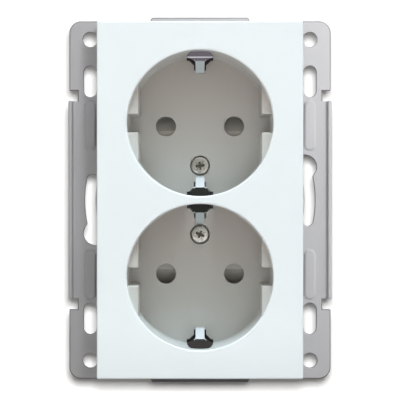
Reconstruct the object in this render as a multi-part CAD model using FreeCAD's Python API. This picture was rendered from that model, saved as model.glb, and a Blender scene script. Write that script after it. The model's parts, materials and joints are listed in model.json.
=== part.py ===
import FreeCAD, Part

import math
import os

from FreeCAD import Vector

# European side-earth twin socket insert on a galvanised support frame.
# Millimetres: X runs to the right, Z up and Y into the wall, so the front faces -Y.
# The frame's rear face is the wall plane y = 0, and the origin is the centre of its
# four corner holes. The lower socket is the upper one turned half a turn about Y.

# Plug and well, standard sizes
WELL_RADIUS = 19.5
WELL_DEPTH = 17.5
WELL_WEB = 2.1
PIN_SPACING = 19.0
PIN_RADIUS = 2.4
PIN_LENGTH = 19.0
PIN_PLAY = 0.35

# Running clearance, and the small one between a shank and its hole
GAP = 0.2
SLIP = 0.05

# Cover plate
COVER_SIDE = 8.0
COVER_END = 7.65
COVER_FRONT = 11.0
COVER_FACE = 2.0
SKIRT_WALL = 1.6
SKIRT_GAP = 0.3
CUP_WALL = 1.5
FLOOR = 2.0
COVER_EDGE = 0.4
RIM_EDGE = 0.45
PIN_HOLE_EDGE = 0.12
RIB_WIDTH = 3.0
RIB_SETBACK = 2.0
RIB_EDGE = 0.2
RIB_ROOT = 0.5
KEY_NOTCH = 4.9
KEY_NOTCH_EDGE = 0.35

# Earth clips and the openings that they stand in, by distance from the well's wall
CLIP_SHEET = 0.8
CLIP_BEND = 0.6
CLIP_FOOT_INSET = 2.8
CLIP_BULGE_INSET = 5.2
CLIP_SHOULDER_INSET = 2.6
CLIP_HEAD_INSET = 0.5
CLIP_TIP_OUTSET = 0.5
CLIP_BULGE_DEPTH = 10.0
CLIP_SHOULDER_DEPTH = 7.5
CLIP_TIP_DEPTH = 5.0
CLIP_TONGUE = 2.45
CLIP_SHOULDER_WIDTH = 3.5
CLIP_HEAD_WIDTH = 6.4
CLIP_TIP_WIDTH = 4.6
OUTER_HEAD_WIDTH = 7.4
OUTER_TIP_INSET = 0.1
OUTER_HEAD_INSET = 1.5
OUTER_NECK_INSET = 1.75
WINDOW_DEPTH = 4.0
WINDOW_FRONT_WIDTH = 4.9
WINDOW_FLOOR_WIDTH = 7.7
SLOT_INSET = 4.0
SLOT_FAN_INSET = 2.6
SLOT_END_INSET = 1.3
SLOT_WIDTH = 3.4
SLOT_FAN_WIDTH = 6.0

# Cover screws and their nuts
SCREW_INSET = 8.5
SCREW_RADIUS = 1.5
SCREW_HEAD_RADIUS = 2.5
SCREW_HEAD = 1.6
SCREW_HEAD_EDGE = 0.3
SCREW_PROUD = 0.1
SCREW_TIP_ROOM = 0.5
SEAT_PLAY = 0.33
BOSS_WALL = 0.6
BOSS = 1.0
RECESS_SLOT = 2.9
RECESS_SLOT_WIDTH = 0.9
RECESS_CROSS = 2.5
RECESS_CROSS_WIDTH = 0.7
RECESS_DEPTH = 1.0
UPPER_SCREW_TURN = 8.0
LOWER_SCREW_TURN = -24.0
NUT_WIDTH = 5.5
NUT = 1.8
NUT_BEDDING = 2.0

# Support frame, bent from one sheet, with its holes on the standard 60 mm spacing
SHEET = 1.0
BODY_CLEARANCE = 0.2
STRAP_INNER = 7.75
STRAP_OUTER = 5.7
FRAME_END = 6.15
FRAME_CORNER = 3.2
TAB_WIDTH = 27.3
TAB_RISE = 1.0
TAB_SLANT = 0.5
OPENING_CORNER = 9.0
HOLE_INSET = 5.0
HOLE_RADIUS = 2.0
SLOT_DROP = 11.45
FRAME_SLOT_WIDTH = 3.5
FRAME_SLOT_LENGTH = 8.5
KEYHOLE_RADIUS = 3.25
KEYHOLE_SLOT_WIDTH = 2.9
KEYHOLE_ANGLE = 17.6
KEYHOLE_END_ANGLE = -10.8
BEAD_WIDTH = 3.1
BEAD_HEIGHT = 0.6
BEAD_EDGE = 0.45
BEAD_KEYHOLE_GAP = 1.1
BEAD_SLOT_GAP = 0.85
LIP_SHORT = 0.3
LIP_HEIGHT = 2.0
LIP_BEND = 0.7
LIP_PROUD = 0.1
NOTCH_LENGTH = 2.85
NOTCH_DEPTH = 2.3
LEG_WIDTH = 9.0
LEG_DROP = 1.9
LEG_LENGTH = 9.0
LEG_BEND = 0.5
LEG_RELIEF = 0.6
LEG_WINDOW_WIDTH = 6.0
LEG_WINDOW_START = 4.0
LEG_WINDOW_LENGTH = 3.0

# Contact carrier
CARRIER_WALL = 0.85
CARRIER_END_WALL = 0.75
CARRIER_CORNER = 10.0
FLANGE_LAP = 1.25
FLANGE = 1.5
DECK = 1.5
FOOT_ROOM = 1.15
REAR_CORNER = 9.0
REAR_WALL = 1.6
DIVIDER_WALL = 1.2
DIVIDER_PROUD = 0.8
PILLAR_WALL = 0.6

# Shutters and their springs
SHUTTER_THICKNESS = 4.1
SHUTTER_SIDE = 3.7
SHUTTER_TOP = 3.2
SHUTTER_FOOT = 5.5
SHUTTER_LAND = 1.3
RAMP_ANGLE = 42.0
RAMP_FLOOR = 0.4
RAMP_SIDE = 0.7
RAMP_INNER = 3.2
SHUTTER_BRIDGE = 2.4
SPRING_RADIUS = 1.7
SPRING_WIRE = 0.4
SPRING_TURNS = 5.0
SPIGOT_RADIUS = 1.2
SPIGOT = 1.1

# Contact strips, terminals and earth parts
STRIP_SHEET = 0.8
LEAF_BEND = 0.4
LEAF_WIDTH = 6.0
LEAF_ROOT = 3.0
LEAF_SQUEEZE = 0.2
LEAF_MOUTH = 3.5
LEAF_GRIP_BACK = 6.8
LEAF_MOUTH_BACK = 9.6
STRIP_WIDTH = 4.4
STRIP_END = 3.45
PIN_TIP_ROOM = 0.3
TERMINAL_ROOM = 2.85
TERMINAL_PITCH = 11.0
PAD_END = 4.5
COLLAR_RADIUS = 2.7
COLLAR = 1.2
WASHER_ROOM = 0.45
WASHER = 1.2
WASHER_EDGE = 0.6
TERMINAL_SCREW_RADIUS = 1.75
TERMINAL_SCREW_LENGTH = 6.0
TERMINAL_HEAD_RADIUS = 3.0
TERMINAL_HEAD = 2.0
EARTH_ROOM = 0.7
EARTH_NECK = 3.25
EARTH_TAPER = 4.0
MIDDLE_CLIP_WIDTH = 5.2
BRACKET_END = 4.9
RIVET_RADIUS = 1.2
RIVET_HEAD_RADIUS = 2.0
RIVET_HEAD = 0.6

# Rear cover
REAR_COVER = 1.7
REAR_GAP = 0.4
PAD_ROOM = 2.65
REAR_WINDOW_SIDE = 0.75
REAR_WINDOW_END = 2.5
REAR_WINDOW_CORNER = 2.0
REAR_SCREW_SIDE = 5.5
REAR_SCREW_END = 7.0
REAR_SCREW_RADIUS = 1.3
REAR_SCREW_HEAD_RADIUS = 2.6
REAR_SCREW_LENGTH = 9.0
REAR_BOSS_RADIUS = 2.8
SUPPORT_RIB = 1.2
SUPPORT_INNER_GAP = 4.35
SUPPORT_OUTER_GAP = 2.45

# Levels along Y that follow from the sizes above
FRONT_Y = -COVER_FRONT
FLOOR_Y = FRONT_Y + WELL_DEPTH
CUP_BACK_Y = FLOOR_Y + FLOOR
SHUTTER_Y = CUP_BACK_Y + GAP
SHUTTER_BACK_Y = SHUTTER_Y + SHUTTER_THICKNESS
RECESS_Y = SHUTTER_BACK_Y + GAP
DECK_BACK_Y = RECESS_Y + DECK
STRIP_Y = FLOOR_Y + PIN_LENGTH + PIN_TIP_ROOM
STRIP_BACK_Y = STRIP_Y + STRIP_SHEET
REAR_Y = STRIP_BACK_Y + REAR_GAP
REAR_COVER_BACK_Y = REAR_Y + REAR_COVER
HEAD_BACK_Y = FLOOR_Y - SCREW_PROUD + SCREW_HEAD
PILLAR_Y = CUP_BACK_Y + BOSS
NUT_Y = PILLAR_Y + NUT_BEDDING
FLANGE_Y = -SHEET - FLANGE

# Wells, pins and cover
WELL_PITCH = 2 * WELL_RADIUS + WELL_WEB
WELL_Z = WELL_PITCH / 2
PIN_X = PIN_SPACING / 2
PIN_HOLE_RADIUS = PIN_RADIUS + PIN_PLAY
CUP_RADIUS = WELL_RADIUS + CUP_WALL
COVER_WIDTH = 2 * (WELL_RADIUS + COVER_SIDE)
COVER_HEIGHT = WELL_PITCH + 2 * (WELL_RADIUS + COVER_END)
RIB_FLAT = WELL_RADIUS - RIB_WIDTH

# Clips and screws in the cover, by distance from the well's centre
CLIP_FOOT = WELL_RADIUS - CLIP_FOOT_INSET
CLIP_BULGE = WELL_RADIUS - CLIP_BULGE_INSET
CLIP_SHOULDER = WELL_RADIUS - CLIP_SHOULDER_INSET
CLIP_HEAD_REACH = WELL_RADIUS - CLIP_HEAD_INSET
CLIP_TIP = WELL_RADIUS + CLIP_TIP_OUTSET
SLOT_START = WELL_RADIUS - SLOT_INSET
SLOT_FAN_START = WELL_RADIUS - SLOT_FAN_INSET
SLOT_FAN_END = WELL_RADIUS - SLOT_END_INSET
SCREW_OFFSET = WELL_RADIUS - SCREW_INSET
SCREW_Z = WELL_Z - SCREW_OFFSET
SCREW_LENGTH = DECK_BACK_Y - HEAD_BACK_Y - SCREW_TIP_ROOM
SEAT_RADIUS = SCREW_HEAD_RADIUS + SEAT_PLAY
BOSS_RADIUS = SCREW_HEAD_RADIUS + BOSS_WALL
CLIP_FOOT_Z = WELL_Z + CLIP_FOOT

# Carrier's body, and the frame around it
CAVITY_RADIUS = CUP_RADIUS + GAP
BODY_WIDTH = 2 * (CAVITY_RADIUS + CARRIER_WALL)
BODY_HEIGHT = 2 * (WELL_Z + CAVITY_RADIUS + CARRIER_END_WALL)
OPENING_WIDTH = BODY_WIDTH + 2 * BODY_CLEARANCE
OPENING_HEIGHT = BODY_HEIGHT + 2 * BODY_CLEARANCE
HOLE_X = OPENING_WIDTH / 2 + STRAP_INNER
FRAME_WIDTH = 2 * (HOLE_X + STRAP_OUTER)
FRAME_HEIGHT = OPENING_HEIGHT + 2 * FRAME_END
TAB_HEIGHT = FRAME_HEIGHT + 2 * TAB_RISE
HOLE_Z = FRAME_HEIGHT / 2 - HOLE_INSET
SLOT_Z = HOLE_Z - SLOT_DROP
LEG_CENTRE = SLOT_Z - LEG_DROP
KEYHOLE_X = HOLE_X * math.cos(math.radians(KEYHOLE_ANGLE))
KEYHOLE_Z = HOLE_X * math.sin(math.radians(KEYHOLE_ANGLE))
BEAD_INNER_END = KEYHOLE_Z + KEYHOLE_RADIUS + BEAD_KEYHOLE_GAP
BEAD_OUTER_END = SLOT_Z - FRAME_SLOT_LENGTH / 2 - BEAD_SLOT_GAP
LIP_REACH = BEAD_OUTER_END - LIP_SHORT

# Pillar, shutter and spring, by distance from the well's centre
PILLAR_HALF = NUT_WIDTH / 2 + SLIP + PILLAR_WALL
PILLAR_TOP = SCREW_OFFSET - PILLAR_HALF + GAP
PILLAR_END = SCREW_OFFSET + PILLAR_HALF
SHUTTER_WIDTH = PIN_SPACING + 2 * SHUTTER_SIDE
SHUTTER_NOTCH = PILLAR_HALF + PILLAR_WALL
SHUTTER_TRAVEL = SHUTTER_TOP + PIN_RADIUS + GAP
NOTCH_TOP = SHUTTER_TOP - SHUTTER_BRIDGE
SPRING_Y = (SHUTTER_Y + SHUTTER_BACK_Y) / 2

# Chambers, contacts and terminals behind the deck
LEAF_GRIP = PIN_RADIUS + STRIP_SHEET / 2 - LEAF_SQUEEZE
DIVIDER_OUTER = PIN_X - LEAF_MOUTH - STRIP_SHEET / 2 - GAP
CHANNEL_HALF = DIVIDER_OUTER - DIVIDER_WALL
EARTH_WIDTH = 2 * (CHANNEL_HALF - EARTH_ROOM)
WASHER_WIDTH = 2 * (CHANNEL_HALF - WASHER_ROOM)
TERMINAL_X = DIVIDER_OUTER + TERMINAL_ROOM + WASHER_WIDTH / 2
PAD_OUTER = TERMINAL_X + WASHER_WIDTH / 2
PAD_HEIGHT = TERMINAL_PITCH + 2 * PAD_END
STRIP_HEIGHT = 2 * (WELL_Z + LEAF_WIDTH / 2 + STRIP_END)
BRACKET_RISE = TERMINAL_PITCH / 2 + BRACKET_END
BRACKET_RIVET = BRACKET_RISE + STRIP_SHEET / 2 + LEAF_BEND + RIVET_HEAD_RADIUS
BRACKET_FOOT = BRACKET_RIVET + RIVET_HEAD_RADIUS
EARTH_TAPER_END = CLIP_FOOT_Z - EARTH_NECK
EARTH_TAPER_START = EARTH_TAPER_END - EARTH_TAPER

# Rear walls and rear cover
REAR_WIDTH = 2 * (PAD_OUTER + PAD_ROOM + REAR_WALL)
REAR_HEIGHT = 2 * (CLIP_FOOT_Z + FOOT_ROOM + REAR_WALL)
REAR_WINDOW_WIDTH = 2 * (PAD_OUTER + REAR_WINDOW_SIDE)
REAR_WINDOW_HEIGHT = PAD_HEIGHT + 2 * REAR_WINDOW_END
REAR_SCREW_X = REAR_WIDTH / 2 - REAR_SCREW_SIDE
REAR_SCREW_Z = REAR_HEIGHT / 2 - REAR_SCREW_END
SUPPORT_RIB_INNER = WELL_Z - LEAF_WIDTH / 2 - SUPPORT_INNER_GAP
SUPPORT_RIB_OUTER = WELL_Z + LEAF_WIDTH / 2 + SUPPORT_OUTER_GAP


def block(x0, x1, y0, y1, z0, z1):
    """A box between two corners."""
    return Part.makeBox(x1 - x0, y1 - y0, z1 - z0, Vector(x0, y0, z0))


def rod(radius, y0, y1, x=0.0, z=0.0):
    """A cylinder along Y."""
    return Part.makeCylinder(radius, y1 - y0, Vector(x, y0, z), Vector(0, 1, 0))


def taper(radius0, radius1, y0, y1, x=0.0, z=0.0):
    """A cone along Y that goes from one radius to the other."""
    return Part.makeCone(radius0, radius1, y1 - y0, Vector(x, y0, z), Vector(0, 1, 0))


def prism(points, along):
    """A straight-sided outline, drawn out by a vector."""
    return Part.Face(Part.makePolygon(points + points[:1])).extrude(along)


def front_prism(outline, y0, y1):
    """An outline of (x, z) points, drawn out along Y."""
    return prism([Vector(x, y0, z) for x, z in outline], Vector(0, y1 - y0, 0))


def plan_prism(outline, z0, z1):
    """An outline of (x, y) points, drawn out along Z."""
    return prism([Vector(x, y, z0) for x, y in outline], Vector(0, 0, z1 - z0))


def symmetric(half_outline):
    """Closes a right-hand half outline with its mirror image in x."""
    return half_outline + [(-x, other) for x, other in reversed(half_outline)]


def along_y(edge):
    """True where an edge is a straight line parallel to Y."""
    return edge.BoundBox.XLength < SLIP and edge.BoundBox.ZLength < SLIP


def rounded_block(width, height, corner, y0, y1):
    """A plate about the origin whose four corners are rounded."""
    plain = block(-width / 2, width / 2, y0, y1, -height / 2, height / 2)
    return plain.makeFillet(corner, [edge for edge in plain.Edges if along_y(edge)])


def upright_slot(width, length, x, z, y0, y1):
    """A stadium outline standing upright, drawn out along Y."""
    half = width / 2
    reach = length / 2 - half
    edges = [
        Part.makeLine(Vector(x + half, y0, z - reach), Vector(x + half, y0, z + reach)),
        Part.Arc(
            Vector(x + half, y0, z + reach),
            Vector(x, y0, z + reach + half),
            Vector(x - half, y0, z + reach),
        ).toShape(),
        Part.makeLine(Vector(x - half, y0, z + reach), Vector(x - half, y0, z - reach)),
        Part.Arc(
            Vector(x - half, y0, z - reach),
            Vector(x, y0, z - reach - half),
            Vector(x + half, y0, z - reach),
        ).toShape(),
    ]
    return Part.Face(Part.Wire(edges)).extrude(Vector(0, y1 - y0, 0))


def arc_slot(radius, width, start, end, y0, y1):
    """A slot of even width along an arc about the origin, between two angles."""

    def at(distance, angle):
        turn = math.radians(angle)
        return Vector(distance * math.cos(turn), y0, distance * math.sin(turn))

    inner = radius - width / 2
    outer = radius + width / 2
    middle = (start + end) / 2
    end_turn = math.degrees(width / 2 / radius)
    edges = [
        Part.Arc(at(inner, start), at(inner, middle), at(inner, end)).toShape(),
        Part.Arc(at(inner, end), at(radius, end + end_turn), at(outer, end)).toShape(),
        Part.Arc(at(outer, end), at(outer, middle), at(outer, start)).toShape(),
        Part.Arc(at(outer, start), at(radius, start - end_turn), at(inner, start)).toShape(),
    ]
    return Part.Face(Part.Wire(edges)).extrude(Vector(0, y1 - y0, 0))


def shifted(points, distance, normal):
    """A line of points moved sideways in its plane by a distance, mitred at its corners."""
    steps = [(b - a).normalize() for a, b in zip(points, points[1:])]
    sides = [normal.cross(step) for step in steps]
    moved = [points[0] + sides[0] * distance]
    for corner, one, other in zip(points[1:], sides, sides[1:]):
        moved.append(corner + (one + other) * (distance / (1 + one.dot(other))))
    moved.append(points[-1] + sides[-1] * distance)
    return moved


def rounded_line(points, radii):
    """Edges along a line of points, each corner rounded to its own radius."""
    edges = []
    start = points[0]
    for before, corner, after, radius in zip(points, points[1:], points[2:], radii):
        back = (before - corner).normalize()
        on = (after - corner).normalize()
        half = back.getAngle(on) / 2
        reach = radius / math.tan(half)
        depth = radius / math.sin(half) - radius
        first = corner + back * reach
        last = corner + on * reach
        edges.append(Part.makeLine(start, first))
        edges.append(Part.Arc(first, corner + (back + on).normalize() * depth, last).toShape())
        start = last
    edges.append(Part.makeLine(start, points[-1]))
    return edges


def folded(points, thickness, bend, across):
    """Sheet metal folded along a middle line, with an inside bend radius and a width."""
    normal = Vector(across).normalize()
    steps = [(b - a).normalize() for a, b in zip(points, points[1:])]
    turns = [normal.dot(one.cross(other)) for one, other in zip(steps, steps[1:])]
    edges = []
    ends = []
    for side in (1, -1):
        line = shifted(points, side * thickness / 2, normal)
        radii = [bend if side * turn > 0 else bend + thickness for turn in turns]
        edges += rounded_line(line, radii)
        ends.append(line)
    edges.append(Part.makeLine(ends[0][0], ends[1][0]))
    edges.append(Part.makeLine(ends[0][-1], ends[1][-1]))
    face = Part.Face(Part.Wire(Part.__sortEdges__(edges)))
    face.translate(across * -0.5)
    return face.extrude(across)


def moved(shape, x=0.0, y=0.0, z=0.0):
    """A copy of a shape, moved."""
    copy = shape.copy()
    copy.translate(Vector(x, y, z))
    return copy


def turned(shape, angle=180.0, z=0.0):
    """A copy of a shape, turned about an axis along Y."""
    copy = shape.copy()
    copy.rotate(Vector(0, 0, z), Vector(0, 1, 0), angle)
    return copy


def mirrored_x(shape):
    """The mirror image of a shape in the plane x = 0."""
    return shape.mirror(Vector(0, 0, 0), Vector(1, 0, 0))


def mirrored_z(shape):
    """The mirror image of a shape in the plane z = 0."""
    return shape.mirror(Vector(0, 0, 0), Vector(0, 0, 1))


def both_sides(shape):
    """A shape and its mirror image in x."""
    return [shape, mirrored_x(shape)]


def four_quarters(shape):
    """A shape and its mirror images in x, in z and in both."""
    return both_sides(shape) + both_sides(mirrored_z(shape))


def one_solid(shape):
    """The single solid of a boolean result, without leftover seams."""
    return shape.removeSplitter().Solids[0]


def clip_line(z0, direction):
    """The bent part of an earth clip from its tip to its foot: points from a well's centre."""

    def at(distance, depth):
        return Vector(0, FRONT_Y + depth, z0 + direction * distance)

    return [
        at(CLIP_TIP, CLIP_TIP_DEPTH),
        at(CLIP_SHOULDER, CLIP_SHOULDER_DEPTH),
        at(CLIP_BULGE, CLIP_BULGE_DEPTH),
        at(CLIP_FOOT, WELL_DEPTH),
    ]


def clip_corners(well_z, direction):
    """What a middle clip's head loses where it passes from the well into the window."""
    start = well_z + direction * CLIP_HEAD_REACH
    z0, z1 = sorted((start, start + direction * CUP_RADIUS))
    corner = block(CLIP_TIP_WIDTH / 2, CLIP_HEAD_WIDTH, FRONT_Y, FLOOR_Y, z0, z1)
    return both_sides(corner)


def outer_corners():
    """What the upper outer clip loses: its head is widest next to its shoulders."""
    corner = [
        (CLIP_SHOULDER_WIDTH / 2, WELL_Z),
        (CLIP_SHOULDER_WIDTH / 2, WELL_Z + WELL_RADIUS - OUTER_NECK_INSET),
        (OUTER_HEAD_WIDTH / 2, WELL_Z + WELL_RADIUS - OUTER_HEAD_INSET),
        (CLIP_TIP_WIDTH / 2, WELL_Z + WELL_RADIUS - OUTER_TIP_INSET),
        (CLIP_TIP_WIDTH / 2, WELL_Z + CUP_RADIUS),
        (OUTER_HEAD_WIDTH, WELL_Z + CUP_RADIUS),
        (OUTER_HEAD_WIDTH, WELL_Z),
    ]
    return both_sides(front_prism(corner, FRONT_Y, FLOOR_Y))


def clip_blank(head_width, wide_y, z0, z1, back_y):
    """The clip's outline seen from above: its head as far as wide_y, shoulders and a tongue."""
    tongue = CLIP_TONGUE / 2
    shoulder = CLIP_SHOULDER_WIDTH / 2
    shoulder_y = FRONT_Y + CLIP_SHOULDER_DEPTH
    half = [
        (head_width / 2, FRONT_Y + CLIP_TIP_DEPTH - CLIP_SHEET),
        (head_width / 2, wide_y),
        (shoulder, shoulder_y),
        (shoulder, shoulder_y + CLIP_SHEET / 2),
        (tongue, shoulder_y + CLIP_SHEET / 2 + shoulder - tongue),
        (tongue, back_y),
    ]
    return plan_prism(symmetric(half), z0, z1)


def clip_opening():
    """What the cover loses for the upper clip of the upper well."""
    window = [
        (WINDOW_FRONT_WIDTH / 2, FRONT_Y + WINDOW_DEPTH),
        (WINDOW_FLOOR_WIDTH / 2, CUP_BACK_Y),
        (WINDOW_FLOOR_WIDTH / 2, CUP_BACK_Y + GAP),
    ]
    wall = plan_prism(
        symmetric(window), WELL_Z + SLOT_FAN_END, WELL_Z + CUP_RADIUS + GAP
    )
    well_side = block(
        -WINDOW_FLOOR_WIDTH, WINDOW_FLOOR_WIDTH, FRONT_Y, FLOOR_Y,
        WELL_Z, WELL_Z + SLOT_FAN_END + GAP,
    )
    slot = [
        (SLOT_WIDTH / 2, WELL_Z + SLOT_START),
        (SLOT_WIDTH / 2, WELL_Z + SLOT_FAN_START),
        (SLOT_FAN_WIDTH / 2, WELL_Z + SLOT_FAN_END),
        (SLOT_FAN_WIDTH / 2, WELL_Z + SLOT_FAN_END + GAP),
    ]
    floor = front_prism(symmetric(slot), FLOOR_Y - GAP, CUP_BACK_Y + GAP)
    return wall.cut(well_side).fuse(floor)


def guide_rib():
    """Upper right guide rib of the upper well, with its rounded key-notch edge."""
    root = WELL_RADIUS + RIB_ROOT
    edge_z = WELL_Z + KEY_NOTCH / 2
    bar = block(RIB_FLAT, root, FRONT_Y + RIB_SETBACK, FLOOR_Y + FLOOR / 2, edge_z, WELL_Z + root)
    corner = [
        edge
        for edge in bar.Edges
        if along_y(edge)
        and edge.BoundBox.XMax < RIB_FLAT + SLIP
        and edge.BoundBox.ZMax < edge_z + SLIP
    ]
    bar = bar.makeFillet(KEY_NOTCH_EDGE, corner)
    front = [
        edge
        for edge in bar.Edges
        if abs(edge.BoundBox.YMax - bar.BoundBox.YMin) < SLIP
        and edge.BoundBox.XMin < RIB_FLAT + KEY_NOTCH_EDGE
        and edge.BoundBox.XMax < root - SLIP
    ]
    bar = bar.makeChamfer(RIB_EDGE, front)
    return bar.common(rod(root, FRONT_Y, CUP_BACK_Y, 0, WELL_Z))


def cover_shell():
    """The cover's hollow front with both cups, before anything is cut in them."""
    outer = block(
        -COVER_WIDTH / 2, COVER_WIDTH / 2, FRONT_Y, -SHEET - SKIRT_GAP,
        -COVER_HEIGHT / 2, COVER_HEIGHT / 2,
    )
    visible = [edge for edge in outer.Edges if edge.BoundBox.YMin < FRONT_Y + SLIP]
    outer = outer.makeFillet(COVER_EDGE, visible)
    half_width = COVER_WIDTH / 2 - SKIRT_WALL
    half_height = COVER_HEIGHT / 2 - SKIRT_WALL
    inside = block(-half_width, half_width, FRONT_Y + COVER_FACE, 0, -half_height, half_height)
    shell = outer.cut(inside)
    cups = [rod(CUP_RADIUS, FRONT_Y + COVER_FACE / 2, CUP_BACK_Y, 0, z) for z in (WELL_Z, -WELL_Z)]
    bosses = [rod(BOSS_RADIUS, FLOOR_Y, PILLAR_Y, 0, z) for z in (SCREW_Z, -SCREW_Z)]
    wells = [rod(WELL_RADIUS, FRONT_Y - GAP, FLOOR_Y, 0, z) for z in (WELL_Z, -WELL_Z)]
    shell = one_solid(shell.fuse(cups).cut(wells).fuse(bosses))
    rims = [
        edge
        for edge in shell.Edges
        if abs(edge.BoundBox.XLength - 2 * WELL_RADIUS) < SLIP
        and edge.BoundBox.YMax < FRONT_Y + SLIP
    ]
    return shell.makeFillet(RIM_EDGE, rims)


def cover_plate():
    """The white moulding: flat front, skirt, two wells and everything in their floors."""
    rib = guide_rib()
    below = moved(mirrored_z(moved(rib, z=-WELL_Z)), z=WELL_Z)
    upper_ribs = both_sides(rib) + both_sides(below)
    cover = cover_shell().fuse(upper_ribs + [turned(rib) for rib in upper_ribs])
    cuts = []
    for x in (PIN_X, -PIN_X):
        cuts.append(rod(PIN_HOLE_RADIUS, FLOOR_Y - GAP, CUP_BACK_Y + GAP, x, WELL_Z))
        cuts.append(
            taper(
                PIN_HOLE_RADIUS + PIN_HOLE_EDGE, PIN_HOLE_RADIUS,
                FLOOR_Y, FLOOR_Y + PIN_HOLE_EDGE, x, WELL_Z,
            )
        )
    cuts.append(rod(SEAT_RADIUS, FLOOR_Y - GAP, HEAD_BACK_Y, 0, SCREW_Z))
    cuts.append(rod(SCREW_RADIUS + GAP, FLOOR_Y, PILLAR_Y + GAP, 0, SCREW_Z))
    opening = clip_opening()
    cuts.append(opening)
    cuts.append(moved(mirrored_z(moved(opening, z=-WELL_Z)), z=WELL_Z))
    return one_solid(cover.cut(cuts + [turned(cut) for cut in cuts]))


def folded_lip():
    """The right-hand forward lip between the relief notches."""
    plane_y = -SHEET / 2
    outer = FRAME_WIDTH / 2 + LIP_PROUD
    line = [
        Vector(outer - SHEET - NOTCH_DEPTH, plane_y, 0),
        Vector(outer - SHEET / 2, plane_y, 0),
        Vector(outer - SHEET / 2, -SHEET - LIP_HEIGHT, 0),
    ]
    return folded(line, SHEET, LIP_BEND, Vector(0, 0, 2 * LIP_REACH))


def snap_leg():
    """The upper right leg, folded back from the opening, with its window."""
    inner = OPENING_WIDTH / 2
    line = [
        Vector(inner + SHEET + 2 * LEG_BEND, -SHEET / 2, LEG_CENTRE),
        Vector(inner + SHEET / 2, -SHEET / 2, LEG_CENTRE),
        Vector(inner + SHEET / 2, LEG_LENGTH, LEG_CENTRE),
    ]
    leg = folded(line, SHEET, LEG_BEND, Vector(0, 0, LEG_WIDTH))
    window = block(
        inner - GAP, inner + SHEET + GAP,
        LEG_WINDOW_START, LEG_WINDOW_START + LEG_WINDOW_LENGTH,
        LEG_CENTRE - LEG_WINDOW_WIDTH / 2, LEG_CENTRE + LEG_WINDOW_WIDTH / 2,
    )
    return leg.cut(window)


def raised_bead():
    """The upper right bead: what the sheet gains in front."""
    length = BEAD_OUTER_END - BEAD_INNER_END
    middle = (BEAD_OUTER_END + BEAD_INNER_END) / 2
    ridge = upright_slot(BEAD_WIDTH, length, HOLE_X, middle, -SHEET - BEAD_HEIGHT, -SHEET / 2)
    top = [edge for edge in ridge.Edges if edge.BoundBox.YMax < -SHEET - BEAD_HEIGHT + SLIP]
    return ridge.makeChamfer(BEAD_EDGE, top)


def bead_hollow():
    """The upper right bead: what the sheet loses behind."""
    length = BEAD_OUTER_END - BEAD_INNER_END - SHEET
    middle = (BEAD_OUTER_END + BEAD_INNER_END) / 2
    return upright_slot(BEAD_WIDTH - SHEET, length, HOLE_X, middle, -BEAD_HEIGHT, GAP)


def keyhole():
    """The right-hand bayonet slot for a box screw: an arc with one wide end."""
    slot = arc_slot(
        HOLE_X, KEYHOLE_SLOT_WIDTH, KEYHOLE_END_ANGLE, KEYHOLE_ANGLE, -SHEET - GAP, GAP
    )
    return slot.fuse(rod(KEYHOLE_RADIUS, -SHEET - GAP, GAP, KEYHOLE_X, KEYHOLE_Z))


def support_frame():
    """The galvanised frame: one sheet, pierced, embossed and folded."""
    through = (-SHEET - GAP, GAP)
    half_tab = TAB_WIDTH / 2
    tab_z = TAB_HEIGHT / 2
    tabs = symmetric(
        [
            (half_tab - TAB_SLANT, -tab_z),
            (half_tab, -FRAME_HEIGHT / 2),
            (half_tab, FRAME_HEIGHT / 2),
            (half_tab - TAB_SLANT, tab_z),
        ]
    )
    frame = rounded_block(FRAME_WIDTH, FRAME_HEIGHT, FRAME_CORNER, -SHEET, 0)
    frame = frame.fuse(front_prism(tabs, -SHEET, 0))
    edge_x = FRAME_WIDTH / 2 + LIP_PROUD - SHEET - NOTCH_DEPTH
    inner = OPENING_WIDTH / 2
    leg_half = LEG_WIDTH / 2 + LEG_RELIEF
    notch_end = LIP_REACH + NOTCH_LENGTH
    cuts = [rounded_block(OPENING_WIDTH, OPENING_HEIGHT, OPENING_CORNER, *through)]
    cuts += both_sides(block(edge_x, FRAME_WIDTH, *through, -LIP_REACH, LIP_REACH))
    cuts += four_quarters(
        block(
            FRAME_WIDTH / 2 - NOTCH_DEPTH, FRAME_WIDTH, *through, LIP_REACH, notch_end
        )
    )
    cuts += four_quarters(
        block(
            inner - SHEET, inner + SHEET + 2 * LEG_BEND, *through,
            LEG_CENTRE - leg_half, LEG_CENTRE + leg_half,
        )
    )
    cuts += four_quarters(rod(HOLE_RADIUS, *through, HOLE_X, HOLE_Z))
    cuts += four_quarters(
        upright_slot(FRAME_SLOT_WIDTH, FRAME_SLOT_LENGTH, HOLE_X, SLOT_Z, *through)
    )
    cuts += [keyhole(), turned(keyhole())]
    frame = frame.cut(cuts)
    adds = four_quarters(raised_bead()) + both_sides(folded_lip()) + four_quarters(snap_leg())
    return one_solid(frame.fuse(adds).cut(four_quarters(bead_hollow())))


def snap_lug():
    """The upper right lug that clicks into a leg's window."""
    side = BODY_WIDTH / 2
    reach = OPENING_WIDTH / 2 + SHEET - GAP / 2
    start = LEG_WINDOW_START + GAP
    end = LEG_WINDOW_START + LEG_WINDOW_LENGTH - GAP / 2
    outline = [
        (side - CARRIER_WALL, start),
        (reach, start),
        (reach, (start + end) / 2),
        (side, end),
        (side - CARRIER_WALL, end),
    ]
    half = LEG_WINDOW_WIDTH / 2 - GAP
    return plan_prism(outline, LEG_CENTRE - half, LEG_CENTRE + half)


def shutter_recess():
    """The space in which the upper shutter slides."""
    half = SHUTTER_WIDTH / 2 + GAP
    foot = SHUTTER_FOOT + SHUTTER_TRAVEL + GAP
    return block(
        -half, half, CUP_BACK_Y - GAP, RECESS_Y, WELL_Z - foot, WELL_Z + SHUTTER_TOP + GAP
    )


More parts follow.
